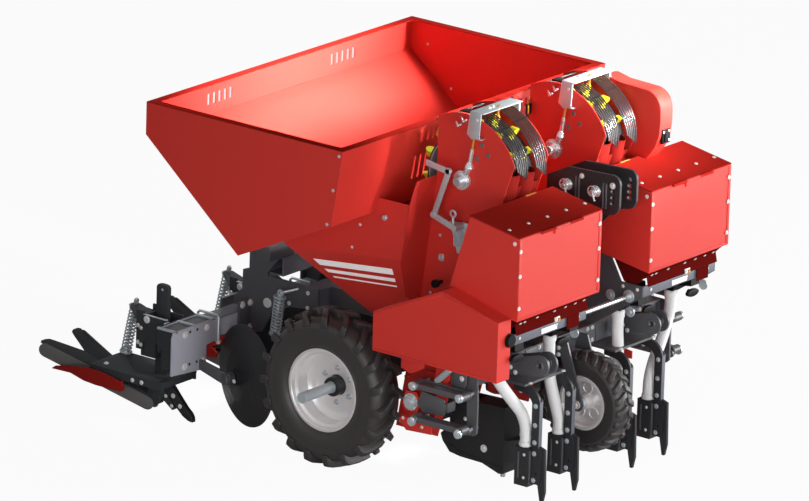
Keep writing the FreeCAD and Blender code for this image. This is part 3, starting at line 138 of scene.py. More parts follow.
def make_light():
    """A plain white room, dimmer to all but the camera, with the key light ahead on the left."""
    world = bpy.data.worlds.new("studio")
    world.use_nodes = True
    tree = Tree(world.node_tree)
    seen = tree.sums("MULTIPLY_ADD", tree("LightPath", out="Is Glossy Ray"), 0.4,
                     tree("LightPath", out="Is Camera Ray"))
    strength = tree("MapRange", {"Value": seen, "To Min": 0.12, "To Max": 1.0}, "Result")
    tree.feed(world.node_tree.nodes["Background"], {"Color": WHITE, "Strength": strength})
    bpy.context.scene.world = world
    area_lamp("key", (6.0, 7.0, 1.2), (0, 0, 0.8), 5.0, 900)
    area_lamp("front", (8.5, -2.6, 1.5), (0, 0, 0.8), 4.0, 370)
    area_lamp("side", (3.8, -7.6, 1.6), (0, 0, 0.8), 5.0, 245)
    area_lamp("hopper", (-0.45, 0.0, 4.6), (-0.4, 0.0, 1.0), 1.5, 12, spread=16)
    area_lamp("rear wall", (4.2, 1.0, 3.5), (-0.97, 0.1, 1.66), 1.0, 55, spread=22)
    bpy.context.scene.view_settings.view_transform = "Standard"


def make_floor():
    """A white floor that keeps a faint shadow."""
    mesh = bpy.data.meshes.new("floor")
    half = 60
    mesh.from_pydata([(-half, -half, 0), (half, -half, 0), (half, half, 0), (-half, half, 0)],
                     [], [(0, 1, 2, 3)])
    paint = bpy.data.materials.new("floor")
    paint.use_nodes = True
    paint.node_tree.nodes.clear()
    tree = Tree(paint.node_tree)
    share = tree.sums("MULTIPLY", tree("LightPath", out="Is Camera Ray"), 0.95)
    matt = tree("BsdfDiffuse", {"Color": (0.86, 0.86, 0.86, 1)})
    glow = tree("Emission", {"Color": WHITE})
    tree("OutputMaterial", {"Surface": tree("MixShader", {0: share, 1: matt, 2: glow})})
    mesh.materials.append(paint)
    put(bpy.data.objects.new("floor", mesh))


make_camera()
make_light()
make_floor()


# ------------------------------------------------------------------ finishes

GREY = (0.5, 0.5, 0.5, 1)


def surface_group(name, inputs):
    """An empty shader group that puts out a colour, a roughness and a normal."""
    group = bpy.data.node_groups.new(name, "ShaderNodeTree")
    for label, value in inputs.items():
        kind = "NodeSocketColor" if value == GREY else "NodeSocketFloat"
        group.interface.new_socket(label, in_out="INPUT", socket_type=kind).default_value = value
    for label, kind in (("Colour", "Color"), ("Roughness", "Float"), ("Normal", "Vector")):
        group.interface.new_socket(label, in_out="OUTPUT", socket_type="NodeSocket" + kind)
    return group, Tree(group), group.nodes.new("NodeGroupInput").outputs


def make_coat_group():
    """Sprayed, plated or moulded surface: slow tone changes, lighter edges, fine relief."""
    group, tree, given = surface_group("Coat", {
        "Colour": GREY, "Tone": 0.1, "Roughness": 0.4, "Grain": 400.0, "Depth": 0.1,
        "Edge": 0.002, "Rub": 0.1})
    colour, slow = given["Colour"], tree.noise(3.1)
    darker = tree.mix(1.0, colour, (0.45, 0.42, 0.4, 1), "MULTIPLY")
    lighter = tree.mix(1.0, colour, (0.16, 0.15, 0.15, 1), "ADD")
    plain = tree.mix(tree.sums("MULTIPLY", slow, given["Tone"]), colour, darker)
    rounded = tree("Bevel", {"Radius": given["Edge"]}, samples=4)
    bend = tree("VectorMath", {0: rounded, 1: tree("NewGeometry", out="Normal")}, "Value",
                operation="DOT_PRODUCT")
    worn = tree.sums("MULTIPLY", tree.span(bend, 0.97, 0.7), tree.span(tree.noise(38.0), 0.4, 0.62))
    relief = tree("Bump", {"Distance": 0.001, "Strength": given["Depth"], "Normal": rounded,
                           "Height": tree.noise(given["Grain"], 2.0)})
    tree("NodeGroupOutput", {
        "Colour": tree.mix(tree.sums("MULTIPLY", worn, given["Rub"]), plain, lighter),
        "Roughness": tree.sums("MULTIPLY_ADD", slow, 0.12, given["Roughness"]),
        "Normal": relief})
    return group


def make_plate_group():
    """Zinc or chromate plating: cloudy patches and fine drawn lines along the machine."""
    group, tree, given = surface_group("Plating", {"Colour": GREY, "Cloud": 0.2,
                                                   "Roughness": 0.35})
    cloud, lines = tree.noise(45.0, 3.0), tree.noise(260.0, 2.0, stretch=(0.08, 1, 1))
    darker = tree.mix(1.0, given["Colour"], (0.55, 0.58, 0.62, 1), "MULTIPLY")
    share = tree.sums("MULTIPLY", cloud, given["Cloud"])
    rough = tree.sums("MULTIPLY_ADD", lines, 0.1, given["Roughness"])
    relief = tree("Bump", {"Strength": 0.05, "Distance": 0.001, "Height": lines,
                           "Normal": tree("Bevel", {"Radius": 0.001}, samples=4)})
    tree("NodeGroupOutput", {"Colour": tree.mix(share, given["Colour"], darker),
                             "Roughness": tree.sums("MULTIPLY_ADD", cloud, 0.08, rough),
                             "Normal": relief})
    return group


coat_group = make_coat_group()
plate_group = make_plate_group()


def finished(name, slot, group, values, **numbers):
    """A material whose shader takes its colour, roughness and normal from a group."""
    material = bpy.data.materials.new(name)
    material.use_nodes = True
    tree = Tree(material.node_tree)
    source = tree("Group", values, node_tree=group).node.outputs
    surface = material.node_tree.nodes["Principled BSDF"]
    tree.feed(surface, {"Base Color": source["Colour"], "Roughness": source["Roughness"],
                        "Normal": source["Normal"]})
    tree.feed(surface, {label.replace("_", " "): value for label, value in numbers.items()})
    material.diffuse_color = values["Colour"]
    return material


def painted(name, slot, colour, roughness, tone=0.25, grain=500.0, depth=0.05, edge=0.002,
            rub=0.3, specular=0.5, gloss=1.5):
    """A sprayed, moulded or rubber finish; gloss is its index of refraction."""
    values = {"Colour": (*colour, 1), "Tone": tone, "Roughness": roughness, "Grain": grain,
              "Depth": depth, "Edge": edge, "Rub": rub}
    return finished(name, slot, coat_group, values, Specular_IOR_Level=specular, IOR=gloss)


def plated(name, slot, colour, roughness, cloud=0.35, metallic=0.85):
    """A zinc, chromate or bare steel finish."""
    values = {"Colour": (*colour, 1), "Cloud": cloud, "Roughness": roughness}
    return finished(name, slot, plate_group, values, Metallic=metallic, IOR=1.5)


red = painted("red paint", "red_paint", (0.66, 0.036, 0.026), 0.42, tone=0.12, rub=0.4,
              specular=0.3)
# Painted shade: a darker copy of the red paint for the lids, the hopper rim and its folded edge,
# which are the same red but are meant to look in shade.
painted_shade_red = painted("red lid paint", "red_paint", (0.42, 0.02, 0.014), 0.5, tone=0.12, rub=0.4,
                  specular=0.0)
# Painted shade: a deeper copy of the red for the units' front covers, carriers and chutes, which
# are meant to look deep in shade.
shade_red = painted("deep red paint", "red_paint", (0.3, 0.016, 0.012), 0.5, rub=0.2,
                    specular=0.1)
# Painted shade: the darkest copy of the red, for the box troughs and the aprons below the boxes.
apron_red = painted("shaded red", "red_paint", (0.11, 0.006, 0.005), 0.6, rub=0.1, specular=0.0)
dark_red = painted("dark red lever", "red_paint", (0.3, 0.012, 0.008), 0.45, rub=0.2,
                   specular=0.1)
anthracite = painted("anthracite paint", "frame_paint", (0.07, 0.071, 0.08), 0.4, tone=0.2,
                     specular=0.7, gloss=1.6)
soil_black = painted("soil tool black", "frame_paint", (0.024, 0.025, 0.028), 0.38, tone=0.2,
                     specular=0.4)
ridger_dark = painted("ridger paint", "frame_paint", (0.045, 0.049, 0.054), 0.5, tone=0.2,
                      specular=0.12)
wing_grey = painted("warm grey paint", "frame_paint", (0.13, 0.12, 0.12), 0.5, tone=0.15, rub=0.1,
                    specular=0.3)
# Painted light: a much lighter copy of the frame grey for the fronts at the rear toolbar, which
# stand in the machine's shadow.
lit_grey = painted("lit grey paint", "frame_paint", (0.42, 0.43, 0.5), 0.4, tone=0.15, rub=0.2)
# Painted light: a lighter, bluer copy of the frame grey for front faces, facings and edges, so that
# they look lit.
painted_light_grey = painted("front grey paint", "frame_paint", (0.13, 0.135, 0.165), 0.4, tone=0.15,
                     rub=0.2)
black = painted("black paint", "black_steel", (0.016, 0.016, 0.018), 0.36, rub=0.2, specular=0.45)
moulded = painted("black plastic", "knob_plastic", (0.007, 0.007, 0.008), 0.4, grain=900.0,
                  depth=0.12, rub=0.1, specular=0.12)
belt = painted("belt rubber", "belt_rubber", (0.02, 0.02, 0.02), 0.7, rub=0.0)
drum = painted("drum paint", "drum_steel", (0.32, 0.32, 0.34), 0.4)
boss_grey = painted("grey boss", "drum_steel", (0.12, 0.12, 0.12), 0.5, rub=0.0)
hose = painted("hose plastic", "hose", (0.78, 0.78, 0.79), 0.34, tone=0.1, grain=260.0, rub=0.0)
rubber = painted("tyre rubber", "tyre", (0.032, 0.028, 0.028), 0.42, tone=0.35, grain=700.0,
                 depth=0.22, edge=0.003, rub=0.12, specular=0.7)
yellow = painted("yellow plastic", "cup_plastic", (0.62, 0.6, 0.02), 0.4, rub=0.0, specular=0.4)
yellow_tape = painted("yellow strip", "yellow_tape", (0.8, 0.5, 0.02), 0.5, rub=0.0)
guide = painted("guide wire", "guide_wire", (0.012, 0.012, 0.013), 0.18, rub=0.0, specular=0.8,
                gloss=1.7)
white = painted("white stripe", "white_stripe", (0.98, 0.96, 0.96), 0.45, tone=0.05, rub=0.0)
zinc = plated("zinc plate", "zinc_plate", (0.58, 0.64, 0.67), 0.3, metallic=0.5)
chrome = plated("bright steel", "zinc_plate", (0.85, 0.88, 0.9), 0.16, cloud=0.2, metallic=0.75)
bolt_zinc = plated("bolt zinc", "zinc_plate", (0.84, 0.83, 0.8), 0.3, metallic=0.25)
orange = plated("orange chromate", "orange_zinc", (0.68, 0.3, 0.06), 0.34, metallic=0.6)
silver = plated("wheel silver", "rim_paint", (0.93, 0.9, 0.9), 0.24, cloud=0.12, metallic=0.5)

CAD_FINISHES = {
    "red_paint": red, "frame_paint": anthracite, "zinc_plate": zinc, "belt_rubber": belt,
    "drum_steel": drum, "share_steel": black, "outlet_plastic": moulded, "hose": hose,
    "tyre": rubber, "rim_paint": silver, "disc_steel": soil_black, "spring_steel": zinc,
}
NODE_FINISHES = {
    # Painted shade: the lids and the hopper rim take the darker copy of the red.
    "fertiliser_lid_right": painted_shade_red, "fertiliser_lid_left": painted_shade_red, "hopper_rim": painted_shade_red,
    "fertiliser_coulters": soil_black, "headstock_plates": soil_black,
    # Painted light: the cradle tube and the rear cross tube take the lighter grey.
    "metering_shaft": chrome, "cradle_tube": painted_light_grey, "rear_cross_tube": painted_light_grey,
    # Painted shade: the units' front covers and carriers take the deeper shaded red, and the box
    # troughs the darkest.
    "unit_front_covers": shade_red, "unit_carriers": shade_red, "box_troughs": apron_red,
}


def dress_cad_nodes():
    """Gives every CAD node its own finish or that of its slot."""
    for part in frame["record"]["subparts"]:
        slots = nodes[part["node"]].data.materials
        slots.clear()
        slots.append(NODE_FINISHES.get(part["node"], CAD_FINISHES[part["material_slot"]]))


dress_cad_nodes()
# Painted light: the white stripes and labels glow a little, though they are no lamp.
painted_glow = white.node_tree.nodes["Principled BSDF"].inputs
painted_glow["Emission Color"].default_value = WHITE
painted_glow["Emission Strength"].default_value = 0.15


# ------------------------------------------------------------------ making shapes

def polar(centre, radius, degrees):
    """The point of a circle in a plane at an angle."""
    turn = math.radians(degrees)
    return centre[0] + radius * math.cos(turn), centre[1] + radius * math.sin(turn)


def arc(centre, radius, start, end, steps=12):
    """Points on an arc in a plane, by angles in degrees."""
    return [polar(centre, radius, start + (end - start) * step / steps)
            for step in range(steps + 1)]


def circle(middle, across, up, radius, sides):
    """Points round a middle, by two square directions."""
    return [middle + across * u + up * v
            for u, v in (polar((0, 0), radius, step * 360 / sides) for step in range(sides))]


def of_kind(items, kind):
    """The vertices or faces among mixed elements of a mesh."""
    return [item for item in items if isinstance(item, kind)]


class Shape:
    """The mesh of one piece while it is made, drawn in millimetres."""

    def __init__(self):
        self.mesh = bmesh.new()

    def walls(self, low, high):
        """Faces between two closed rings, of which either may be a single point."""
        made = []
        for step in range(max(len(low), len(high))):
            corners = list(dict.fromkeys([low[(step - 1) % len(low)], low[step % len(low)],
                                          high[step % len(high)], high[(step - 1) % len(high)]]))
            if len(corners) > 2:
                made.append(self.mesh.faces.new(corners))
        return made

    def skin(self, rings, ends=True, closed=False, soft=0.0):
        """Faces along rings of points, with a face on each end; sharp edges are rounded."""
        rings = [[self.mesh.verts.new(point) for point in ring] for ring in rings]
        made = [self.mesh.faces.new(ring) for ring in (rings[0], rings[-1]) if ends]
        for low, high in zip(rings, rings[1:] + rings[:closed]):
            made += self.walls(low, high)
        bmesh.ops.recalc_face_normals(self.mesh, faces=made)
        if soft:
            sharp = {edge for face in made for edge in face.edges
                     if len(edge.link_faces) == 2 and edge.calc_face_angle() > SHARP}
            bmesh.ops.bevel(self.mesh, geom=list(sharp), offset=soft, segments=2, profile=0.6,
                            affect="EDGES", clamp_overlap=True)
        return self

    def plate(self, outline, span, soft=1.2, axis="y"):
        """A flat plate: an outline across an axis and its span along it."""
        place = "xyz".index(axis)
        return self.skin([[(*point[:place], level, *point[place:]) for point in outline]
                          for level in span], soft=soft)

    def pierced(self, outline, span, centre, radius):
        """A flat plate across Y with one round hole."""
        loops = (outline, arc(centre, radius, 0, 337.5, 15))
        rims, made = [], []
        for level in span:
            rims.append([[self.mesh.verts.new((x, level, z)) for x, z in loop] for loop in loops])
            edges = [self.mesh.edges.new((rim[index - 1], rim[index]))
                     for rim in rims[-1] for index in range(len(rim))]
            filled = bmesh.ops.triangle_fill(self.mesh, edges=edges, use_beauty=True)
            made += of_kind(filled["geom"], bmesh.types.BMFace)
        for low, high in zip(*rims):
            made += self.walls(low, high)
        bmesh.ops.recalc_face_normals(self.mesh, faces=made)
        return self

    def block(self, x, y, z, soft=1.2):
        """A box between two values on each axis."""
        return self.plate([(x[0], z[0]), (x[1], z[0]), (x[1], z[1]), (x[0], z[1])], y, soft)

    def strip(self, start, end, high, thick, rounds=8):
        """A flat bar on edge between two points, with half-round ends."""
        start, end = Vector(start), Vector(end)
        way = (end - start).normalized()
        side = way.cross(Vector(UP)).normalized()
        up, half, length = side.cross(way).normalized(), high / 2, (end - start).length
        outline = (arc((length - half, 0), half, 90, -90, rounds)
                   + arc((half, 0), half, -90, -270, rounds))
        return self.skin([[start + way * u + up * v + side * level for u, v in outline]
                          for level in (-thick / 2, thick / 2)], soft=1.5)

    def sheet(self, corners, thick):
        """A flat or slightly folded plate through its corners, thickened downwards."""
        return self.skin([corners, [(x, y, z - thick) for x, y, z in corners]], soft=1.2)

    def lathe(self, profile, centre, axis=IN, sides=32, closed=False):
        """A turned solid: (radius, distance along the axis) points round a line."""
        axis = Vector(axis).normalized()
        side = axis.orthogonal().normalized()
        return self.skin([circle(Vector(centre) + axis * along, side, axis.cross(side), radius,
                                 sides if radius else 1) for radius, along in profile],
                         ends=False, closed=closed)

    def rod(self, start, end, radius, chamfer=1.0, sides=20, end_radius=None):
        """A round bar between two points, with its ends chamfered."""
        start, end = Vector(start), Vector(end)
        length = (end - start).length
        last = radius if end_radius is None else end_radius
        profile = [(0, 0), (radius - chamfer, 0), (radius, chamfer), (last, length - chamfer),
                   (last - chamfer, length), (0, length)]
        return self.lathe(profile, start, end - start, sides)

    def ring(self, centre, axis, inner, outer, length, sides=28, soft=1.0):
        """A short bored collar that starts at its centre point."""
        profile = [(inner, 0), (outer - soft, 0), (outer, soft), (outer, length - soft),
                   (outer - soft, length), (inner, length)]
        return self.lathe(profile, centre, axis, sides, closed=True)

    def boss(self, centre, facing, *steps):
        """A turned boss in steps: (radius, how far it stands out)."""
        profile = [(0, 0)]
        for radius, out in steps:
            profile += [(radius, profile[-1][1]), (radius, out - 1.5), (radius - 1.5, out)]
        return self.lathe(profile + [(0, profile[-1][1])], centre, facing, sides=30)

    def tube(self, points, radius, sides):
        """A round bar bent along points."""
        path = [Vector(point) for point in points]
        rings, up = [], None
        for before, point, after in zip(path[:1] + path, path, path[1:] + path[-1:]):
            ahead = (after - before).normalized()
            up = ahead.orthogonal() if up is None else up - ahead * up.dot(ahead)
            up.normalize()
            rings.append(circle(point, up, ahead.cross(up), radius, sides))
        return self.skin(rings)

    def both_sides(self):
        """Adds the mirror image of all that is drawn so far on the other side of Y = 0."""
        geometry = self.mesh.verts[:] + self.mesh.edges[:] + self.mesh.faces[:]
        new = bmesh.ops.duplicate(self.mesh, geom=geometry)["geom"]
        bmesh.ops.scale(self.mesh, vec=(1, -1, 1), verts=of_kind(new, bmesh.types.BMVert))
        bmesh.ops.reverse_faces(self.mesh, faces=of_kind(new, bmesh.types.BMFace))
        return self

    def repeat(self, *offsets):
        """Sets what is drawn so far at each offset across the machine."""
        base = bpy.data.meshes.new("repeated")
        self.mesh.to_mesh(base)
        bmesh.ops.translate(self.mesh, vec=(0, offsets[0], 0), verts=self.mesh.verts[:])
        for offset in offsets[1:]:
            shifted = base.copy()
            shifted.transform(Matrix.Translation((0, offset, 0)))
            self.mesh.from_mesh(shifted)
        return self

    def as_mesh(self):
        """Ends the drawing: the mesh in metres."""
        bmesh.ops.scale(self.mesh, vec=(MM, MM, MM), verts=self.mesh.verts[:])
        mesh = bpy.data.meshes.new("shape")
        self.mesh.to_mesh(mesh)
        self.mesh.free()
        return mesh

    def keep(self, name, finish, *replaced, body=FRAME, angle=38):
        """Ends the drawing: the shape becomes a piece that rides on a body."""
        settle(name, merged([self.as_mesh()], angle), finish, *replaced, body=body)


def shapes(count):
    """Several shapes to be drawn side by side."""
    return [Shape() for _ in range(count)]


def merged(meshes, angle=38):
    """One mesh of several, with smooth faces and sharp corners."""
    gathered = bmesh.new()
    for mesh in meshes:
        gathered.from_mesh(mesh)
    result = bpy.data.meshes.new("merged")
    for face in gathered.faces:
        face.smooth = True
    gathered.to_mesh(result)
    gathered.free()
    result.set_sharp_from_angle(angle=math.radians(angle))
    return result


def settle(name, mesh, finish, *replaced, body=FRAME):
    """Puts a mesh in the scene as a piece with its finish and body, and hides the nodes it
    replaces.
    """
    piece = put(bpy.data.objects.new(name, mesh))
    mesh.materials.clear()
    mesh.materials.append(finish)
    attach(piece, body)
    if replaced:
        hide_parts(*replaced)


def lines_mesh(lines):
    """A mesh of edges along lines of points in millimetres."""
    edges, start = [], 0
    for line in lines:
        edges += [(start + index, start + index + 1) for index in range(len(line) - 1)]
        start += len(line)
    mesh = bpy.data.meshes.new("lines")
    mesh.from_pydata([Vector(point) * MM for line in lines for point in line], edges, [])
    return mesh


# ------------------------------------------------------------------ geometry trees

def geometry_tree(name, inputs, draw):
    """A Geometry Nodes tree: its inputs and the function that draws it."""
    group = bpy.data.node_groups.new(name, "GeometryNodeTree")
    socket = group.interface.new_socket
    socket("Geometry", in_out="INPUT", socket_type="NodeSocketGeometry")
    for kind, labels in inputs.items():
        for label in labels:
            socket(label, in_out="INPUT", socket_type="NodeSocket" + kind)
    socket("Material", in_out="INPUT", socket_type="NodeSocketMaterial")
    socket("Geometry", in_out="OUTPUT", socket_type="NodeSocketGeometry")
    tree, given = Tree(group, "GeometryNode"), group.nodes.new("NodeGroupInput").outputs
    solid = tree("RealizeInstances", {0: draw(tree, given)})
    tree("NodeGroupOutput", {0: tree("SetMaterial", {0: solid, "Material": given["Material"]})})
    return group


def named(tree, label, kind):
    """A stored attribute of the points."""
    return tree("InputNamedAttribute", {"Name": label}, data_type=kind)


def draw_bolts(tree, given):
    """A bolt head on a washer at each point, along its facing and to its size."""
    drums = []
    for sides, part, base in ((given["Sides"], "Head", given["Washer Height"]),
                              (16, "Washer", 0.0)):
        high = given[part + " Height"]
        turned = tree("MeshCylinder", {"Vertices": sides, "Radius": given[part + " Radius"],
                                       "Depth": high})
        lift = tree("ShaderNodeCombineXYZ", {"Z": tree.sums("MULTIPLY_ADD", high, 0.5, base)})
        drums.append(tree("Transform", {0: turned, "Translation": lift}))
    turn = tree("FunctionNodeAlignRotationToVector",
                {"Vector": named(tree, "facing", "FLOAT_VECTOR")}, axis="Z")
    return tree("InstanceOnPoints", {
        "Points": given["Geometry"], "Instance": tree("JoinGeometry", {0: drums}),
        "Rotation": turn, "Scale": named(tree, "size", "FLOAT")})


def draw_round(tree, given):
    """Copies of a shape drawn about a wheel's axle line, evenly round it."""
    pitch = tree.sums("DIVIDE", math.tau, given["Count"])
    turn = tree("ShaderNodeCombineXYZ", {"Y": tree.sums("MULTIPLY", tree("InputIndex"), pitch)})
    return tree("InstanceOnPoints", {"Points": tree("Points", {"Count": given["Count"]}),
                                     "Instance": given["Geometry"], "Rotation": turn})


def round_wire(tree, line, sides, radius):
    """Smooth round wire along a curve."""
    section = tree("CurvePrimitiveCircle", {"Resolution": sides, "Radius": radius})
    wire = tree("CurveToMesh", {"Curve": line, "Profile Curve": section, "Fill Caps": True})
    return tree("SetShadeSmooth", {0: wire})


def draw_spring(tree, given):
    """A coil spring of round wire that stands on a point and leans about Y."""
    coil = tree("CurveSpiral", {
        "Resolution": 20, "Rotations": given["Turns"], "Start Radius": given["Coil Radius"],
        "End Radius": given["Coil Radius"], "Height": given["Height"]})
    wire = round_wire(tree, coil, 8, given["Wire Radius"])
    return tree("Transform", {0: wire, "Translation": given["Foot"],
                              "Rotation": tree("ShaderNodeCombineXYZ", {"Y": given["Lean"]})})


def draw_wire(tree, given):
    """Round wire along each chain of edges."""
    return round_wire(tree, tree("MeshToCurve", {0: given["Geometry"]}), 8, given["Radius"])


def draw_cups(tree, given):
    """Seed cups on stalks along a belt's line, evenly spaced and square to it."""
    line = tree("MeshToCurve", {0: given["Geometry"]})
    spots = tree("CurveToPoints", {0: line, "Count": given["Count"]}, mode="COUNT").node.outputs
    upright = tree("FunctionNodeAlignRotationToVector", {"Vector": spots["Tangent"]}, axis="X")
    square = tree("FunctionNodeAlignRotationToVector",
                  {"Rotation": upright, "Vector": named(tree, "outward", "FLOAT_VECTOR")},
                  axis="Z", pivot_axis="X")
    cup = tree("MeshCone", {"Vertices": 14, "Radius Bottom": given["Mouth"],
                            "Radius Top": tree.sums("MULTIPLY", given["Mouth"], 0.55),
                            "Depth": given["Mouth"]})
    laid = tree("Transform", {0: cup, "Rotation": (0, math.radians(-90), 0)})
    lift = tree("ShaderNodeCombineXYZ", {"Z": given["Mouth"]})
    parts = [tree("Transform", {0: laid, "Translation": lift}),
             tree("MeshCube", {"Size": (0.026, 0.03, 0.012)})]
    return tree("InstanceOnPoints", {"Points": spots["Points"], "Rotation": square,
                                     "Instance": tree("JoinGeometry", {0: parts})})


bolt_tree = geometry_tree("Bolts", {
    "Int": ["Sides"],
    "Float": ["Head Radius", "Head Height", "Washer Radius", "Washer Height"]}, draw_bolts)
round_tree = geometry_tree("Around the axle", {"Int": ["Count"]}, draw_round)
spring_tree = geometry_tree("Coil spring", {
    "Float": ["Turns", "Coil Radius", "Height", "Wire Radius", "Lean"], "Vector": ["Foot"]},
    draw_spring)
wire_tree = geometry_tree("Wires", {"Float": ["Radius"]}, draw_wire)
cup_tree = geometry_tree("Cups", {"Int": ["Count"], "Float": ["Mouth"]}, draw_cups)


def grown(tree, source, finish, values):
    """The plain mesh that a tree makes of a source mesh."""
    piece = put(bpy.data.objects.new("growing", source))
    change = piece.modifiers.new("grow", "NODES")
    change.node_group = tree
    for item in tree.interface.items_tree:
        if item.in_out == "INPUT" and item.name in values:
            change[item.identifier] = values[item.name]
        if item.name == "Material":
            change[item.identifier] = finish
    bpy.context.view_layer.update()
    made = bpy.data.meshes.new_from_object(
        piece.evaluated_get(bpy.context.evaluated_depsgraph_get()))
    piece.modifiers.remove(change)
    bpy.data.objects.remove(piece)
    return made


def spring(foot, length, lean, turns, coil, wire):
    """A zinc coil spring that stands on a foot and leans; coil and wire are radii."""
    return grown(spring_tree, bpy.data.meshes.new("empty"), zinc, {
        "Turns": float(turns), "Coil Radius": coil * MM, "Wire Radius": wire * MM,
        "Height": length * MM, "Lean": lean, "Foot": tuple(Vector(foot) * MM)})


bolts = {}
# Sides of the head; then its radius and height and the washer's height, in washer radii.
BOLT_KINDS = {"hex": (6, 0.62, 0.42, 0.16), "button": (20, 0.66, 0.3, 0.14),
              "nut": (6, 0.7, 0.8, 0.2)}


def on(y, *spots):
    """Places in an upright plane along the machine, from their X and Z."""
    return [(x, y, z) for x, z in spots]


def bolt(facing, size, *places, finish=bolt_zinc, body=FRAME, kind="hex", both=False, at=HERE):
    """Notes bolt heads by facing, washer radius and places, to be made at the end.

    With both, each has a mirror image across Y = 0; then all are set at each offset in Y.
    """
    heads = bolts.setdefault((body, finish, kind), [])
    x, y, z = facing
    for place in places:
        for side in (1, -1) if both else (1,):
            heads += [((place[0], side * place[1] + offset, place[2]), (x, side * y, z), size)
                      for offset in at]


def button(facing, size, *places, **how):
    """Notes round button heads, as bolt does."""
    bolt(facing, size, *places, kind="button", **how)


def make_bolts():
    """One piece of bolt heads for each body, finish and kind."""
    for (body, finish, kind), heads in bolts.items():
        source = lines_mesh([[place] for place, _, _ in heads])
        source.attributes.new("facing", "FLOAT_VECTOR", "POINT")
        source.attributes.new("size", "FLOAT", "POINT")
        for index, (_, facing, radius) in enumerate(heads):
            source.attributes["facing"].data[index].vector = Vector(facing).normalized()
            source.attributes["size"].data[index].value = radius * MM
        sides, wide, high, washer = BOLT_KINDS[kind]
        made = grown(bolt_tree, source, finish, {
            "Sides": sides, "Head Radius": wide, "Head Height": high, "Washer Radius": 1.0,
            "Washer Height": washer})
        name = f"bolts_{body}_{finish.name.replace(' ', '_')}_{kind}"
        settle(name, merged([made], 30), finish, body=body)


# ------------------------------------------------------------------ wheels

MAIN_HUB, FRONT_HUB, HALF_TRACK = (0, 405), (1041, 387), 750
MAIN_SECTION = [
    (204, 78), (222, 79), (228, 86), (240, 93), (262, 99), (292, 101.5), (318, 100.5),
    (322, 101.5), (328, 100.5), (345, 96), (360, 84), (368, 62), (371, 30), (372, 6)]
FRONT_SECTION = [
    (129, 50), (143, 51), (147, 55), (158, 60), (178, 63.5), (200, 63.5), (204, 64.3),
    (208, 63.4), (224, 60), (238, 50), (243, 38), (245, 22), (246, 20.5), (241, 19),
    (241, 15), (246, 13.5), (247, 3)]
# A lug's foot is wider than its top by this on each flank.
FLANK = 7
# A lug's stations: angle about the axle, half width, Y, and radius of its top and its foot.
DRIVE_LUG = [
    (0.06, 17, -6, 405, 366), (0.035, 17, 10, 405, 368), (-0.03, 17, 42, 403.5, 368),
    (-0.085, 17, 74, 400, 362), (-0.115, 17, 93, 392, 352), (-0.125, 16, 101, 372, 338),
    (-0.125, 13, 102, 350, 332)]
BLOCK_LUG = [
    (0.09, 12, 3, 258, 243), (0.055, 13, 22, 257.5, 243), (0.0, 14, 44, 254.5, 240),
    (-0.03, 13, 58, 247, 233), (-0.04, 11, 63.5, 235, 222)]


def tyre_mesh(section, stations, count, centre):
    """A turned carcass with lugs on both halves, the left half's half a pitch on."""
    outline = section + [(radius, -along) for radius, along in reversed(section)]
    meshes = [Shape().lathe(outline, (0, 0, 0), sides=96, closed=True).as_mesh()]
    for side, phase in ((LEFT, math.pi / count), (RIGHT, 0.0)):
        rings = []
        for angle, half, y, top, foot in stations:
            rings.append([])
            for radius, wide in ((foot, half + FLANK), (top, half), (top, -half),
                                 (foot, -half - FLANK)):
                x, z = polar((0, 0), radius, math.degrees(angle - phase + wide / radius))
                rings[-1].append((x, side * y, z))
        lug = Shape().skin(rings, soft=2.5).as_mesh()
        meshes.append(grown(round_tree, lug, rubber, {"Count": count}))
    whole = merged(meshes, 32)
    whole.transform(Matrix.Translation(Vector(centre) * MM))
    return whole


def main_wheel(side, name):
    """A lugged tyre on a deep dished rim with rolled flanges, hub collar and nuts."""
    body = "main_wheel_" + name
    centre = (MAIN_HUB[0], side * HALF_TRACK, MAIN_HUB[1])
    mesh = tyre_mesh(MAIN_SECTION, DRIVE_LUG, 19, centre)
    settle("lugged_tyre_" + name, mesh, rubber, "main_tyre_" + name, body=body)
    flange = [(203, 82), (209, 82.4), (216, 80.5), (216, 76.5), (210, 76.5), (205, 74), (204, 60),
              (200, 54), (186, 49), (184, 20), (186, -24), (200, -54), (204, -60), (205, -74),
              (210, -76.5), (216, -76.5), (216, -80.5), (209, -82.4), (203, -82), (200, -76),
              (198, -60), (182, -50), (179, -34), (168, -42), (150, -47), (140, -50), (80, -50),
              (54, -50), (54, -43), (80, -43), (138, -43), (150, -40), (166, -34), (179, -24),
              (179, 20), (181, 49), (196, 56), (198, 76)]
    rim = Shape().lathe([(radius, side * along) for radius, along in flange], centre, sides=72,
                        closed=True)
    rim.keep("dished_rim_" + name, silver, "main_rim_" + name, body=body, angle=30)
    collar = Shape().ring((0, side * 697, 405), (0, side, 0), 30.4, 50, 60, sides=36, soft=4)
    collar.ring((0, side * 680, 405), (0, side, 0), 30.4, 54, 20, sides=36, soft=2)
    collar.keep("hub_collar_" + name, black, body=body)
    for x, z in arc(MAIN_HUB, 90, 30, 330, 5):
        bolt((0, side, 0), 15, (x, side * 707, z), finish=zinc, body=body, kind="nut")
        bolt((0, -side, 0), 12, (x, side * 700, z), body=body)


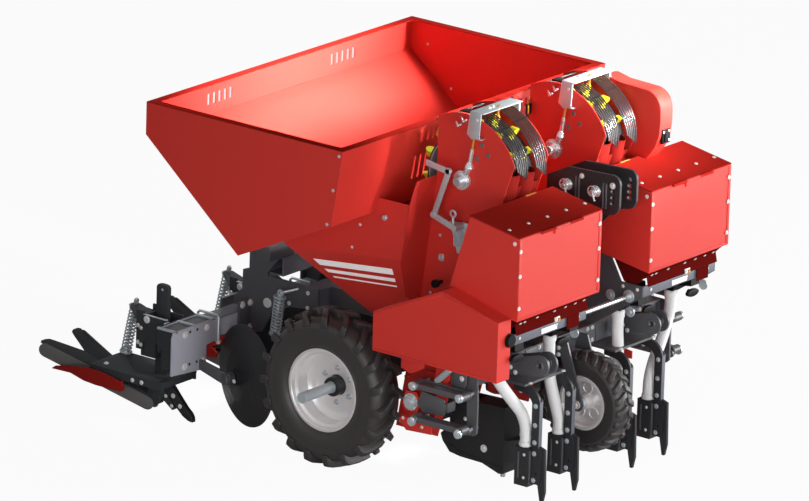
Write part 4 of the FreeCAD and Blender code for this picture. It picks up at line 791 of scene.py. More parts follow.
def front_wheel():
    """A small tyre and its rim: a wheel plate with five lipped pressings and hub cones."""
    x, z = FRONT_HUB
    mesh = tyre_mesh(FRONT_SECTION, BLOCK_LUG, 24, (x, 0, z))
    settle("ribbed_front_tyre", mesh, rubber, "front_tyre", body="front_wheel")
    flange = [(127, 52), (133, 53.3), (141, 51.5), (141, 48), (135, 47.5), (130, 45), (127, 36),
              (116, 32), (112, 12), (112, -12), (116, -32), (127, -36), (130, -45), (135, -47.5),
              (141, -48), (141, -51.5), (133, -53.3), (127, -52), (124, -44), (121, -37),
              (108, -30), (106, -18), (106, 12), (110, 33), (121, 40), (124, 46)]
    rim = Shape().lathe([(radius, -along) for radius, along in flange], (x, 0, z), sides=60,
                        closed=True)
    for at_x, at_z in arc(FRONT_HUB, 70, 18, 306, 4):
        rim.ring((at_x, -8, at_z), IN, 26, 30, 16, soft=2)
    rim.pierced(arc(FRONT_HUB, 107.5, 0, 354, 59), (-3, 3), FRONT_HUB, 31)
    for side in SIDES:
        cone = [(44, 2), (40, 10), (34, 34), (34, 50), (31, 50), (31, 2)]
        rim.lathe([(radius, side * along) for radius, along in cone], (x, 0, z), sides=36,
                  closed=True)
    rim.keep("small_rim", silver, "front_rim", body="front_wheel", angle=30)
    hub = Shape().ring((x, -70, z), IN, 15.4, 30, 140, soft=3)
    hub.keep("small_hub", zinc, body="front_wheel")
    bolt(OUT, 22, (x, -92, z), kind="nut", both=True)


main_wheel(RIGHT, "right")
main_wheel(LEFT, "left")
front_wheel()


# ------------------------------------------------------------------ hopper

def hopper_trim():
    """Bolts on the panels, the folded edge, saddles and studs."""
    bolt(OUT, 9, *on(-1078, (258, 1738), (226, 1556), (194, 1374)), finish=zinc, both=True)
    button(OUT, 8, (124, -720, 1277), (77, -720, 1150), both=True)
    button(IN, 8, *on(-1074, (-860, 1640), (-700, 1430), (-520, 1260)), both=True)
    edge = Shape().block((-960, 268), (-1074, -1066), (1752, 1763), 1)
    # A strip under the front panel closes a see-through gap; like the folded edge, it is in the red
    # with painted shade.
    edge.block((228, 234), (-716, -340), (1240, 1372), 0.8)
    edge.both_sides().block((-970, -962), (-1066, 1066), (1752, 1763), 1)
    edge.keep("hopper_folded_edge", painted_shade_red)
    saddle = Shape().block((-790, -700), (-400, -200), (825, 902), 3)
    saddle.both_sides().keep("hopper_saddles", anthracite)
    stud = Shape().rod((282, -718, 1348), (282, -734, 1348), 14, 3)
    stud.both_sides().keep("funnel_studs", zinc)


def funnel_stripes(side, name):
    """Three plain white stripes on the sloping side of a funnel."""
    top = Vector((-332, side * 720, 1066)), Vector((384, side * 720, 1149))
    low = Vector((60, side * 515, 748)), Vector((307, side * 515, 748))
    bands = Shape()
    for start, end in ((0.16, 0.25), (0.31, 0.36), (0.42, 0.44)):
        for step in range(10):
            spots = []
            for u, v in ((step, start), (step + 1, start), (step + 1, end), (step, end)):
                along = 0.12 + 0.078 * u
                spots.append(top[0].lerp(top[1], along).lerp(low[0].lerp(low[1], along), v))
            rise = (spots[1] - spots[0]).cross(spots[2] - spots[0]).normalized() * 1.6
            if rise.y * side < 0:
                rise.negate()
            bands.skin([spots, [spot + rise for spot in spots]])
    bands.keep("funnel_stripes_" + name, white)


# ------------------------------------------------------------------ planting units

ROLLER, LOW_ROLLER = (605, 1568), (372, 312)
WIRES, WIRE_PITCH, WIRE_RADIUS = 6, 18, 3.9


def guide_wires():
    """The bent wires that hold the seed in over the front of each belt."""
    lines = []
    for middle in UNITS:
        for start, reach in ((-124, 345), (-14, 378)):
            for index in range(WIRES):
                share = index / (WIRES - 1)
                line = []
                for step in range(19):
                    angle = 75 - (58 + 9 * share) * step / 18
                    draw_in = max(0.0, (46 - angle) / 38) ** 2 * (8 + 26 * share)
                    x, z = polar(ROLLER, reach - draw_in, angle)
                    line.append((x, middle + start + index * WIRE_PITCH, z))
                lines.append(line)
            for angle, inset in ((57, 5), (30, 11)):
                x, z = polar(ROLLER, reach - inset, angle)
                lines.append([(x, middle + start + y, z) for y in (-4, 94)])
    wires = grown(wire_tree, lines_mesh(lines), guide, {"Radius": WIRE_RADIUS * MM})
    settle("guide_wires", wires, guide)


def seed_chutes():
    """Half-round sheet chutes below the ends of the guide wires."""
    chutes = Shape()
    for centre, half, front in ((-70, 60, 862), (36, 44, 878)):
        slices = []
        for u, v in arc((0, 0), 1, -90, 90):
            outer = [(front + lean + 62 * u, centre + half * v, z - drop * u ** 2)
                     for z, lean, drop in ((1470, -70, 0), (1560, -48, 0), (1640, -32, 8))]
            slices.append(outer + [(x - 3, y, z) for x, y, z in reversed(outer)])
        chutes.skin(slices)
    # The chutes take the deeper red with painted shade.
    chutes.repeat(*UNITS).keep("seed_chutes", shade_red)


def seed_cups():
    """Yellow cups on short stalks along both belts of each unit, up the back and over."""
    angles = [190 - 160 * step / 29 for step in range(30)]
    over = [polar(ROLLER, 238, angle) for angle in angles]
    foot = Vector((LOW_ROLLER[0] - 90, LOW_ROLLER[1] + 20))
    line = [tuple(foot.lerp(Vector(over[0]), step / 12)) for step in range(12)] + over
    ways = [polar((0, 0), 1, angle) for angle in angles[:1] * 12 + angles]
    made = []
    for middle in UNITS:
        for side in (-65, 65):
            source = lines_mesh([[(x, middle + side, z) for x, z in line]])
            source.attributes.new("outward", "FLOAT_VECTOR", "POINT")
            for index, (x, z) in enumerate(ways):
                source.attributes["outward"].data[index].vector = (x, 0, z)
            made.append(grown(cup_tree, source, yellow, {"Count": 18, "Mouth": 0.034}))
    settle("seed_cups", merged(made, 40), yellow)


def unit_hardware():
    """Brackets, threaded rods, bearings, screws and bosses on the planting units."""
    bracket, screw, bearing, wings, plates, bosses, clips = shapes(7)
    bracket.plate([(638, 1818), (668, 1796), (716, 1806), (724, 1938), (656, 1938)],
                  (-171, -165), 1.5)
    bracket.block((656, 738), (-171, 152), (1935, 1939), 1)
    bracket.block((656, 661), (-165, 150), (1908, 1932))
    bracket.block((672, 722), (141, 152), (1850, 1934), 2)
    bracket.block((660, 730), (-170, -142), (1800, 1806), 1)
    bracket.plate([(600, 1890), (640, 1890), (700, 1934), (670, 1934)], (133, 139), 1)
    bolt(UP, 13, (690, -62, 1939), (690, -30, 1939), at=UNITS)
    button(OUT, 9, (700, -171, 1900), at=UNITS)
    screw.rod((664, -155, 1736), (672, -155, 1800), 6).rod((704, -12, 1862), (712, -12, 1949), 7)
    for step in range(9):
        screw.ring((664 + step, -155, 1742 + step * 6.5), (0.12, 0, 1), 5, 7, 3, sides=14)
    bearing.rod((626, -155, 1600), (648, -155, 1648), 15, 2, end_radius=20)
    bearing.rod((648, -155, 1640), (652, -155, 1672), 24, 3, end_radius=13)
    bearing.rod((652, -155, 1668), (665, -155, 1742), 11, 2)
    bearing.ring(*on(-142, ROLLER), OUT, 22, 50, 24, sides=36, soft=4)
    bearing.ring(*on(-160, ROLLER), OUT, 22, 40, 14, sides=36, soft=5)
    bearing.rod(*on(-170, ROLLER), *on(-200, ROLLER), 21, 3, sides=28)
    bearing.ring((484, -140, 1138), OUT, 12, 20, 5, sides=24)
    bolt(OUT, 12, (484, -140, 1138), finish=zinc, at=UNITS)
    for x, z in ((578, 1847), (610, 1876)):
        wings.rod((x, -140, z), (x, -170, z), 7, sides=12)
        for turn in (35, 125):
            slant = Matrix.Rotation(math.radians(turn), 2)
            wing = [slant @ Vector(point) for point in ((2, -5), (21, -7), (25, 2), (4, 5))]
            wings.plate([(x + u, z + v) for u, v in wing], (-168, -161), 1.5)
    for x, z in ((713, 1768), (684, 1692), (753, 1723)):
        bosses.rod((x, -138, z), (x, -144, z), 12, 2)
    plates.plate([(827, 1776), (890, 1752), (868, 1702), (845, 1706)], (-2, 2), 0.5)
    plates.plate([(413, 1842), (518, 1890), (521, 1884), (417, 1836)], (-133, 133), 0.5)
    button(OUT, 8, *on(-140, (480, 1480), (470, 1250), (420, 940), (760, 1380), (700, 1100)),
           finish=zinc, both=True, at=UNITS)
    clips.block((590, 664), (-167, -118), (1922, 1931), 1)
    clips.rod((490, -192, 1013), (490, -140, 1013), 9, 2)
    clips.rod((490, -206, 1013), (490, -180, 1013), 21, 4)
    for shape, name, finish, *replaced in (
            (bracket, "tensioner_brackets", zinc, "belt_tensioners"),
            (screw, "tensioner_screws", orange), (bearing, "tensioner_bearings", chrome),
            (wings, "wing_screws", chrome), (plates, "unit_divider_plates", anthracite),
            (bosses, "unit_bosses", boss_grey)):
        shape.repeat(*UNITS).keep(name, finish, *replaced)
    clips.repeat(*UNITS).block((440, 452), (196, 234), (1716, 1772), 2)
    clips.keep("unit_clips_and_knobs", moulded)
    Shape().block((452, 454), (200, 209), (1722, 1766), 0.5).keep("clip_tape", yellow_tape)


def bead(shape, start, end, half, over, span, soft):
    """A straight strip across Y between two points, past its ends by some length."""
    way = (Vector(end) - Vector(start)).normalized()
    side = Vector((-way.y, way.x)) * half
    start, end = Vector(start) - way * over, Vector(end) + way * over
    shape.plate([tuple(start + side), tuple(end + side), tuple(end - side), tuple(start - side)],
                span, soft)


def hand_crank():
    """The flat-bar crank on the right unit, with its toothed quadrant and locking ring."""
    crank, quadrant = shapes(2)
    joints = [(447, 1640), (571, 1622), (489, 1380), (625, 1338)]
    for start, end, level in zip(joints, joints[1:], (-606, -598, -606)):
        bead(crank, start, end, 15, 13, (level, level + 8), 1.5)
    crank.rod((571, -606, 1622), (571, -585, 1622), 16, 2)
    crank.rod((489, -608, 1380), (489, -585, 1380), 16, 2)
    crank.rod((625, -612, 1338), (625, -520, 1338), 17, 2)
    crank.ring((606, -597, 1408), IN, 12, 21, 8, sides=24, soft=3)
    crank.rod((606, -593, 1390), (612, -593, 1345), 7)
    crank.keep("hand_crank", zinc, "depth_crank")
    quadrant.plate([(548, 1345), (668, 1358), (662, 1330), (640, 1270), (612, 1190), (600, 1190),
                    (575, 1270)], (-543, -535), 1)
    for step in range(9):
        quadrant.rod((578 + step * 9, -546, 1330 - step * 3), (582 + step * 7, -546, 1225), 2.4,
                     0.5, sides=8)
    quadrant.rod((620, -541, 1280), (620, -516, 1280), 10)
    quadrant.keep("crank_quadrant", zinc)


def guard_trim():
    """The rounded belt guard, its bolts and the black plate on its end."""
    outline = ([(620, 1440), (520, 1560), (570, 1850), (640, 1895), (700, 1908), (780, 1890)]
               + arc((950, 1787), 97, 90, 0, 10)
               + [(1048, 1730), (1041, 1654), (1022, 1600), (996, 1560), (950, 1505), (900, 1480)])
    guard = Shape().plate(outline, (517, 619), 4)
    guard.keep("belt_drive_guard", red, "drive_guard", angle=30)
    pad = Shape().block((1036, 1050), (538, 602), (1612, 1686), 2)
    pad.block((1048, 1056), (552, 574), (1620, 1678), 2).keep("guard_end_plate", moulded)
    button(FORWARD, 7, (1050, 546, 1674), (1050, 592, 1674), (1050, 592, 1626))
    button(IN, 9, *on(619, (560, 1590), (620, 1800), (800, 1850), (980, 1800), (960, 1560)))


def box_bolts():
    """Bolts on the fertiliser boxes and along their lids."""
    for name, middle in zip(("right", "left"), BOXES):
        places = [(1146, middle - 301 + step * 153, 1496) for step in range(5)]
        button((0.165, 0, 0.986), 10, *places, body="lid_" + name)
    bolt(FORWARD, 11, *((1239, y, z) for y in (-327, 316) for z in (1410, 1282, 1118)), at=BOXES)
    bolt(OUT, 11, (1207, -335, 1446), both=True, at=BOXES)


hopper_trim()
funnel_stripes(RIGHT, "right")
funnel_stripes(LEFT, "left")
guide_wires()
seed_chutes()
seed_cups()
unit_hardware()
hand_crank()
guard_trim()
box_bolts()


# ------------------------------------------------------------------ ridging bodies

def ridger_body(dark, wing, knife, lever):
    """A ridging body under the rear toolbar: deck, wings, tine holder, tine and lever."""
    dark.block((-1466, -989), (-140, -128), (188, 224), 1.5)
    dark.sheet([(-1160, -20, 100), (-1776, -158, 281), (-1786, -146, 284), (-1786, -112, 284),
                (-1776, -88, 282), (-1750, -72, 274), (-1612, 0, 232), (-1160, 0, 100)], 6)
    dark.block((-1222, -1172), (-70, -60), (352, 560), 4)
    dark.both_sides()
    wing.strip((-1138, -20, 48), (-1784, -160, 252), 72, 8).both_sides()
    dark.block((-1468, -987), (-140, 140), (220, 232), 2)
    dark.block((-999, -987), (-128, 128), (196, 222), 1.5)
    for x in (-1420, -1360, -1305):
        dark.rod((x, -139, 208), (x, -141.5, 208), 5, 0.5, sides=12)
    dark.plate([(-1180, 210), (-1085, 215), (-1075, 120), (-1120, 60), (-1180, 64)],
               (-20, 20), 5)
    dark.rod((-1128, -22, 92), (-1128, 22, 92), 34, 4, sides=28)
    dark.plate([(-1110, 176), (-1075, 150), (-1000, 62), (-1018, 50), (-1086, 96)],
               (-14, 14), 3)
    knife.plate([(-1112, 196), (-1062, 200), (-1030, 190), (-985, 140), (-930, 82), (-900, 58),
                 (-888, 38), (-884, 13), (-912, 16), (-950, 34), (-1010, 86), (-1070, 150),
                 (-1100, 172)], (-15, 15), 5)
    button(OUT, 13, (-1012, -15, 130), (-966, -15, 84), both=True, at=RIDGERS)
    bolt(OUT, 10, (-1060, -15, 118), (-1020, -15, 74), at=RIDGERS)
    button(OUT, 12, (-1180, -140, 206), (-1120, -140, 206), both=True, at=RIDGERS)
    bolt(UP, 14, (-1400, -84, 232), at=RIDGERS)
    lever.plate([(-1700, 158), (-1672, 178), (-1580, 196), (-1470, 216), (-1360, 212),
                 (-1236, 186), (-1216, 166), (-1222, 142), (-1240, 136), (-1400, 134),
                 (-1480, 140), (-1570, 162)], (-168, -152), 6)
    for x in (-1250, -1380):
        lever.rod((x, -154, 178), (x, -138, 178), 9)


def ridger_clamp(dark, light, straps):
    """The clamp on the toolbar: plates before and behind, straps above, housing and post."""
    # The front clamp plates are drawn in the lit grey, as painted light.
    light.plate([(-185, 500), (-172, 532), (185, 532), (185, 424), (178, 414), (92, 404),
                 (92, 300), (60, 280), (-185, 300)], (-899, -888), 3, "x")
    bolt(FORWARD, 19, (-888, -84, 500), (-888, 88, 500), (-888, -84, 330), (-888, 64, 330),
         at=RIDGERS)
    for y, z in ((-44, 506), (14, 506), (-44, 334), (14, 334)):
        dark.rod((-889, y, z), (-886.5, y, z), 8, 0.5, sides=14)
    dark.block((-1013, -1001), (-150, 150), (392, 532), 3)
    for y in (-150, 0, 150):
        straps.block((-1012, -888), (y - 9, y + 9), (521, 532), 2)
    straps.block((-1010, -996), (-150, 150), (521, 530), 1.5)
    straps.tube([(-882, 178, 404), (-882, 178, 534), (-890, 178, 542), (-1008, 178, 542),
                 (-1018, 178, 532), (-1018, 178, 404)], 7, 10)
    bolt(DOWN, 16, (-882, 178, 408), kind="nut", at=RIDGERS)
    dark.plate([(-1178, 400), (-1020, 400), (-1020, 540), (-1096, 540), (-1178, 540)],
               (-70, -60), 3)
    dark.block((-1178, -1020), (60, 70), (400, 540), 3)
    dark.block((-1178, -1168), (-66, 66), (400, 540), 2)
    dark.block((-1030, -1018), (-66, 66), (400, 512), 2)
    straps.block((-1176, -1020), (-71, -59), (540, 545), 1.5)
    straps.plate([(-108, 420), (-108, 520), (-92, 536), (-62, 536), (-62, 400), (-92, 400)],
                 (-1018, -1010), 2, "x")
    dark.block((-1196, -1102), (-60, 40), (318, 400), 3)
    dark.plate([(-1140, 226), (-1062, 226), (-1062, 688), (-1070, 700), (-1086, 704),
                (-1116, 704), (-1132, 700), (-1140, 688)], (-12, 12), 2.5)
    straps.rod((-1101, -13, 676), (-1101, -11, 676), 7, 0.5, sides=14)
    button(OUT, 20, (-1150, -70, 520), at=RIDGERS)
    button(OUT, 12, (-1040, -70, 430), at=RIDGERS)
    dark.plate([(-1396, 92), (-1416, 119), (-1404, 146), (-1376, 152), (-1180, 62), (-1180, -62),
                (-1222, -62)], (496, 506), 3, "z")
    button(OUT, 11, *on(-70, (-1208, 478), (-1188, 468), (-1208, 388), (-1188, 378)), both=True,
           at=RIDGERS)
    dark.block((-1222, -1214), (-64, 64), (352, 500), 2)


def ridger_springs(steel):
    """The leaning springs between the decks and their seats, with plates, rods and nuts."""
    foot, lean = Vector((-1438, 119, 246)), Vector((54, 0, 246))
    way = lean.normalized()
    # Each turned piece: where it starts and ends along the spring, radius, chamfer and sides.
    for start, end, radius, chamfer, sides in (
            (-10, 0, 34, 3, 20), (0, 22, 20, 3, 20), (lean.length, lean.length + 9, 34, 3, 20),
            (lean.length - 18, lean.length, 20, 3, 20), (-8, lean.length + 50, 8, 1.5, 20),
            (lean.length + 22, lean.length + 46, 13, 2, 6)):
        steel.rod(foot + way * start, foot + way * end, radius, chamfer, sides)
    tilt = math.atan2(lean.x, lean.z)
    return [spring(foot + Vector((0, y, 0)), lean.length, tilt, 13, 25, 4.2) for y in RIDGERS]


def make_ridgers():
    """Three ridging bodies, and what only the outer two have at the toolbar's ends."""
    dark, wing, knife, lever, light, straps, steel = shapes(7)
    ridger_body(dark, wing, knife, lever)
    ridger_clamp(dark, light, straps)
    coils = ridger_springs(steel)
    for shape in (dark, wing, knife, lever, light, straps, steel):
        shape.repeat(*RIDGERS)
    for side in SIDES:
        dark.block((-1000, -902), sorted((side * 750, side * 885)), (306, 416), 3)
        dark.plate([(-1012, 532), (-898, 532), (-898, 436), (-908, 416), (-930, 406),
                    (-1012, 406)], sorted((side * 887, side * 895)), 2)
    dark.keep("ridger_bodies", ridger_dark, "ridgers")
    wing.keep("ridger_wing_bars", wing_grey)
    knife.keep("ridger_tines", black)
    lever.keep("ridger_levers", dark_red)
    # Painted light: a strip of the lit grey across the rear toolbar's front face.
    light.block((-900.5, -899.5), (-870, 870), (424, 516), 0)
    light.keep("ridger_clamp_plates", lit_grey)
    straps.keep("ridger_straps", zinc)
    settle("ridger_coils", merged(coils), zinc, "ridger_springs")
    steel.keep("ridger_spring_rods", zinc)


# ------------------------------------------------------------------ discs and rear arms

DISC_BAR_X, DISC_X, DISC_Z = -965, -690, 272
DISC_OFFSET, TOE = 260, math.radians(20)
DISC_AXIS = Vector((math.sin(TOE), math.cos(TOE), 0))


def make_disc_frame():
    """The red bar across the machine with the disc arms, hubs and small brackets."""
    bar, arms, hubs = shapes(3)
    hub = Vector((DISC_X, -DISC_OFFSET, DISC_Z)) - DISC_AXIS * 78
    arms.plate([(-999, 352), (-935, 352), (-905, 344), (hub.x + 30, 302), (hub.x + 30, 246),
                (hub.x - 28, 246), (-975, 312), (-999, 330)], (hub.y - 8, hub.y + 8), 3)
    arms.block((-995, -935), (hub.y - 22, hub.y + 22), (405, 413), 2)
    arms.lathe([(0, -16), (30, -16), (34, -12), (34, 36), (27, 42), (0, 42)], hub, DISC_AXIS,
               sides=28)
    hubs.rod(hub + DISC_AXIS * 30, hub + DISC_AXIS * 98, 15, 2)
    bolt(UP, 9, *((DISC_BAR_X + x, hub.y, 413) for x in (-18, 18)), both=True, at=UNITS)
    bolt(OUT, 11, *((hub.x + 60, y - 8, DISC_Z + 4) for y in (hub.y, -hub.y)), at=UNITS)
    for y in (-60, 60):
        bar.block((-995, -935), (y - 6, y + 6), (356, 440), 2)
    bar.repeat(*UNITS).block((-989, -941), (-815, 815), (356, 404), 4)
    bar.keep("disc_cross_bar", red, "disc_frame")
    arms.both_sides().repeat(*UNITS).keep("disc_arms", anthracite)
    hubs.both_sides().repeat(*UNITS).keep("disc_stub_axles", zinc)


def disc_cap(unit, unit_name, side, place_name):
    """A cap and its bolts on the outer face of one covering disc."""
    away = Vector((DISC_AXIS.x, -side * DISC_AXIS.y, 0))
    centre = Vector((DISC_X, unit + side * DISC_OFFSET, DISC_Z))
    name = f"{unit_name}_{place_name}"
    cap = Shape().lathe([(20, 5.5), (58, 5.5), (58, 11), (40, 16), (24, 24), (20, 24)], centre,
                        away, sides=36, closed=True)
    cap.keep("disc_cap_" + name, zinc, body="disc_" + name)
    across = away.cross(Vector(UP)).normalized()
    for u, v in arc((0, 0), 48, 45, 315, 3):
        bolt(away, 9, centre + away * 8 + across * u + Vector((0, 0, v)), body="disc_" + name)


def arm_hardware():
    """Bolts on the tall arms and their clamps, the tension springs and the bright struts."""
    steel, rods, plates = shapes(3)
    for z in (420, 552):
        bolt(FORWARD, 19, (-888, -314, z), (-888, -376, z), both=True)
        bolt(BACKWARD, 16, (-1012, -314, z), (-1012, -376, z), both=True)
    button(OUT, 26, (-780, -306, 571), both=True)
    button(OUT, 12, *on(-306, (-880, 1000), (-880, 900), (-820, 1210), (-880, 1330), (-640, 600),
                        (-520, 600), (-520, 680)), both=True)
    coils = [spring((-672, side * 372, 452), 190, 0.12, 11, 26, 4) for side in SIDES]
    steel.rod((-674, -372, 432), (-646, -372, 664), 8, 1.5)
    steel.rod((-672, -372, 440), (-671, -372, 452), 34, 2)
    steel.rod((-649, -372, 642), (-648, -372, 652), 34, 2)
    steel.ring((-644, -366, 668), OUT, 9, 20, 12, sides=24, soft=2)
    plates.plate([(-700, 400), (-640, 400), (-625, 432), (-700, 440)], (-371, -361), 2)
    rods.rod((-560, -330, 700), (-646, -372, 668), 7, 1.5)
    settle("frame_coils", merged(coils), zinc)
    steel.both_sides().keep("frame_spring_rods", zinc)
    plates.both_sides().keep("frame_spring_feet", anthracite)
    rods.both_sides().keep("frame_struts", chrome)


make_ridgers()
make_disc_frame()
for unit, unit_name, outer in zip(UNITS, ("right", "left"), SIDES):
    disc_cap(unit, unit_name, outer, "outer")
    disc_cap(unit, unit_name, -outer, "inner")
arm_hardware()


# ------------------------------------------------------------------ linkage and coulters

def linkage_detail():
    """Red and dark plates, the flange bearing, struts and bolts between the two links."""
    reds, darks, steel, bright = shapes(4)
    reds.plate([(484, 446), (508, 514), (572, 518), (604, 470), (582, 414), (506, 410)],
               (-804, -797), 2)
    reds.plate([(498, 640), (498, 700), (640, 720), (640, 665), (560, 622)], (-838, -830), 2)
    reds.plate([(690, 612), (700, 690), (786, 690), (786, 632), (760, 604)], (-812, -804), 2)
    reds.plate([(490, 372), (520, 396), (700, 372), (700, 332), (540, 322)], (-836, -828), 2)
    steel.boss((543, -804, 464), OUT, (44, 8), (34, 16), (24, 30))
    darks.plate([(604, 476), (630, 546), (770, 532), (792, 486), (770, 446), (640, 436)],
                (-834, -826), 2)
    darks.block((786, 800), (-836, -776), (470, 520), 2)
    steel.rod((722, -834, 618), (806, -834, 700), 17, 2)
    darks.plate([(820, 600), (826, 690), (900, 696), (900, 640), (880, 596)], (-825, -818), 2)
    for z in (420, 594):
        darks.block((650, 920), (-908, -853), (z - 15, z + 15), 5)
        for x in (642, 928):
            darks.rod((x, -853, z), (x, -914, z), 23, 3)
            bright.rod((x, -914, z), (x, -928, z), 16, 3).rod((x, -928, z), (x, -931, z), 9)
    bolt(OUT, 14, (871, -825, 663), both=True)
    bolt(OUT, 7, *on(-812, *arc((543, 464), 36, 45, 315, 3)), both=True)
    button(OUT, 9, (520, -836, 382), (640, -836, 360), both=True)
    bolt(UP, 10, (515, -640, 540), (545, -640, 540), both=True)
    for shape, name, finish in ((reds, "red_plates", red), (darks, "dark_plates", anthracite),
                                (steel, "bearings", zinc), (bright, "rods", chrome)):
        shape.both_sides().keep("linkage_" + name, finish)


def share_detail():
    """Bolts, the stub under the nose and the stiffener on each furrow opener."""
    bolt(OUT, 20, (732, -65, 172), both=True, at=UNITS)
    bolt(OUT, 11, (610, -65, 300), both=True, at=UNITS)
    rib = Shape().plate([(520, 150), (560, 128), (720, 104), (850, 98), (850, 92), (716, 96),
                         (552, 118), (510, 142)], (-69, -65), 1)
    rib.both_sides().repeat(*UNITS).keep("share_ribs", black)
    stub = Shape().rod((822, -20, 92), (822, -20, 34), 13, 2)
    stub.repeat(*UNITS).keep("share_stubs", zinc)


def coulter_detail():
    """Side plates, slots and bolts of the coulters, and the rings that hold the hoses."""
    plates, rings, slots, edges = shapes(4)
    plates.plate(arc((1108, 520), 24, 0, 180, 10) + arc((1108, 300), 24, 180, 360, 10),
                 (-14, -7.5), 1.5)
    plates.pierced([(1092, 96), (1092, 276), (1136, 286), (1150, 250), (1150, 120), (1136, 96)],
                   (-14, -7.5), (1122, 150), 8)
    slots.block((1020, 1030), (-35, -33), (112, 250), 0.8)
    slots.both_sides().block((1085, 1088), (-26, 26), (90, 262), 1)
    # The coulters' front edges are in the lighter grey, as painted light.
    edges.block((1131, 1133), (-13, 13), (284, 524), 0.6)
    rings.ring((1044, 0, 277), UP, 30.2, 34, 26, sides=36, soft=2)
    rings.ring((1044, 0, 284), UP, 30.2, 35.5, 5, sides=36)
    bolt(OUT, 13, *on(-14, (1108, 500), (1108, 400), (1108, 310)), finish=zinc, both=True,
         at=COULTERS)
    button(OUT, 13, (1108, -14, 252), (1108, -14, 112), finish=zinc, both=True, at=COULTERS)
    button(OUT, 8, (1060, -33, 240), (1060, -33, 120), both=True, at=COULTERS)
    bolt(UP, 12, (1060, 0, 605), at=COULTERS)
    bolt(IN, 10, (1000, 0, 552), at=COULTERS)
    rings.repeat(*COULTERS)
    for y in (-732, -285, 285, 732):
        rings.ring((1000, y, 752), UP, 30.2, 34, 40, sides=36, soft=3)
    plates.both_sides().repeat(*COULTERS).keep("coulter_side_plates", soil_black)
    slots.repeat(*COULTERS).keep("coulter_boot_strips", anthracite)
    edges.repeat(*COULTERS).keep("coulter_edges", painted_light_grey)
    rings.keep("hose_rings", hose)


# ------------------------------------------------------------------ toolbar, hitch and mast

def mast_detail():
    """Pins with ring handles and upright ribs on the mast plates."""
    ribs, pins = shapes(2)
    for x in (978, 996, 1148, 1166):
        ribs.block((x - 4, x + 4), (-86.5, -77.5), (1438, 1570), 2)
    for x in (925, 1100):
        pins.boss((x, -77.5, 1516), OUT, (30, 6), (20, 22), (13, 44))
        handle = arc((x - 4, 1520), 26, 30, 330, 14)
        pins.tube(on(-105.5, *handle), 4, 8)
        pins.rod((x, -107.5, 1510), (x + 22, -117.5, 1476), 6)
    pins.both_sides()
    for x in (925, 1100):
        pins.rod((x, -72, 1516), (x, 72, 1516), 12)
    bolt(OUT, 17, (1202, -77.5, 1564), both=True)
    bolt(OUT, 14, *on(-77.5, (860, 1300), (860, 1100), (860, 900), (1010, 1576)), both=True)
    ribs.both_sides().keep("mast_ribs", anthracite)
    pins.keep("mast_pins", chrome)


def toolbar_detail():
    """Brackets and bolts on the front toolbar, the hitch ears and the fork."""
    brackets = Shape().block((890, 896), (-340, -246), (608, 700), 2)
    for y in (-500, -430):
        brackets.ring((1107, y - 9, 706), IN, 14.2, 26, 18, sides=30, soft=3)
        for x, z in ((930, 662), (960, 640)):
            bolt(OUT, 13, (x, y - 6, z), both=True)
            bolt(IN, 13, (x, y + 6, z), both=True)
    for y in (-640, -566):
        brackets.block((786, 894), (y, y + 6), (600, 712), 2)
    brackets.both_sides().keep("toolbar_brackets", anthracite)
    button(FORWARD, 9, *((892, y, 622) for y in (-322, -292, -262)), both=True)
    bolt(FORWARD, 12, *((890, y, z) for y in (-620, -570, -220, -180) for z in (622, 688)),
         both=True)
    bolt(OUT, 20, *on(-90, FRONT_HUB), kind="nut", both=True)
    bolt(OUT, 12, (915, -90, 660), (915, -90, 625), both=True)


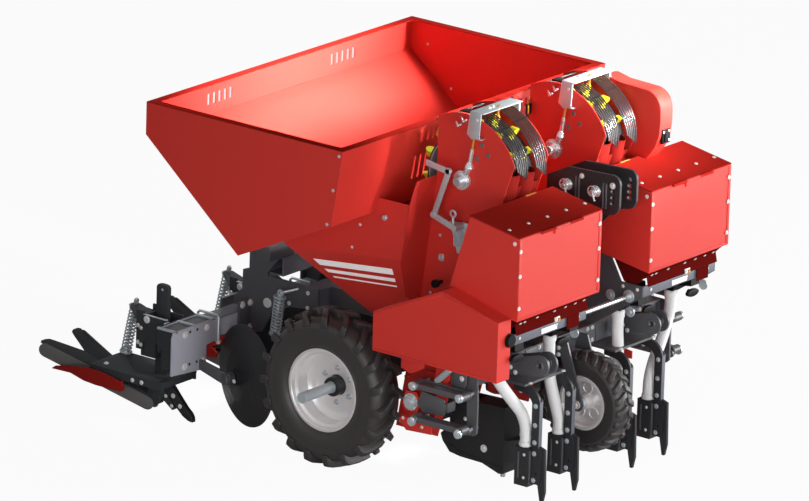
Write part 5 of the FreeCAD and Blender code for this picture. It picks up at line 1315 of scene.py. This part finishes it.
def stand_detail():
    """Knobs, flanges, blank labels and aprons on the stands, and facings of a lighter grey that is
    painted light.
    """
    flanges, knobs, facings, labels, aprons = shapes(5)
    for y in (-300, 72):
        knobs.rod((1188, y, 852), (1214, y, 852), 13, 3)
        knobs.plate([(y + 48 * u, 852 + 20 * v) for u, v in arc((0, 0), 1, 0, 340, 17)],
                    (1206, 1226), 5, "x")
    knobs.repeat(*BOXES).boss((1201, -890, 952), FORWARD, (36, 8), (32, 20))
    knobs.keep("clamp_knobs", moulded)
    flanges.boss((1100, -307, 896), OUT, (33, 7), (20, 14))
    flanges.boss((1112, -307, 816), OUT, (27, 6), (12, 12))
    flanges.boss((985, -307, 880), OUT, (27, 6), (12, 12))
    flanges.both_sides().block((1184, 1206), (16, 62), (956, 984), 3)
    flanges.repeat(*BOXES).keep("stand_flanges", zinc)
    bolt(FORWARD, 11, (1206, 28, 972), at=BOXES)
    bolt(FORWARD, 11, (1206, 50, 968), finish=orange, at=BOXES)
    bolt(OUT, 10, *on(-307, (1150, 940), (1060, 940), (860, 760), (820, 760)), both=True,
         at=BOXES)
    button((0.68, 0, -0.73), 9, *((1199, y, 1017) for y in (-256, -222, -120, 20, 110, 190, 262)),
           at=BOXES)
    button(FORWARD, 8, (1186, -240, 934), (1186, -60, 934), both=True, at=BOXES)
    facings.block((1182, 1184.5), (-302, 302), (906, 961), 0.5).repeat(*BOXES)
    # A facing along the front toolbar, also in the lighter grey of painted light.
    facings.block((889.5, 891.5), (-793, 793), (611, 699), 0.5)
    facings.keep("grey_facings", painted_light_grey)
    labels.block((1184, 1185.5), (-60, 66), (912, 938), 0.4).repeat(*BOXES)
    labels.keep("stand_labels", white)
    # Sloped aprons below the boxes, in the darkest red with painted shade.
    aprons.sheet([(1188, -296, 1050), (1188, 290, 1050), (1206, 290, 966), (1206, -296, 966)], 4)
    aprons.repeat(*BOXES).keep("trough_aprons", apron_red)


def box_seams():
    """Folded seams on the boxes, latch strips on their lids and beads on the drive cover."""
    seams = Shape().block((1236, 1238.5), (-335, -316), (1056, 1466), 0.8)
    seams.both_sides().block((1236, 1238.5), (-316, 316), (1052, 1064), 0.8)
    seams.repeat(*BOXES).keep("box_seams", red)
    for name, side in (("right", RIGHT), ("left", LEFT)):
        latch = Shape().block((924, 934), sorted((side * 350, side * 430)), (1530, 1536), 1)
        latch.keep("lid_latch_" + name, orange, body="lid_" + name)
    cover = Shape()
    for start, end in (((440, 757), (1190, 757)), ((440, 948), (846, 1130)),
                       ((860, 1132), (1190, 1052))):
        bead(cover, start, end, 5, 0, (-983, -980), 1)
    cover.keep("drive_cover_beads", red)


linkage_detail()
share_detail()
coulter_detail()
mast_detail()
toolbar_detail()
stand_detail()
box_seams()
make_bolts()
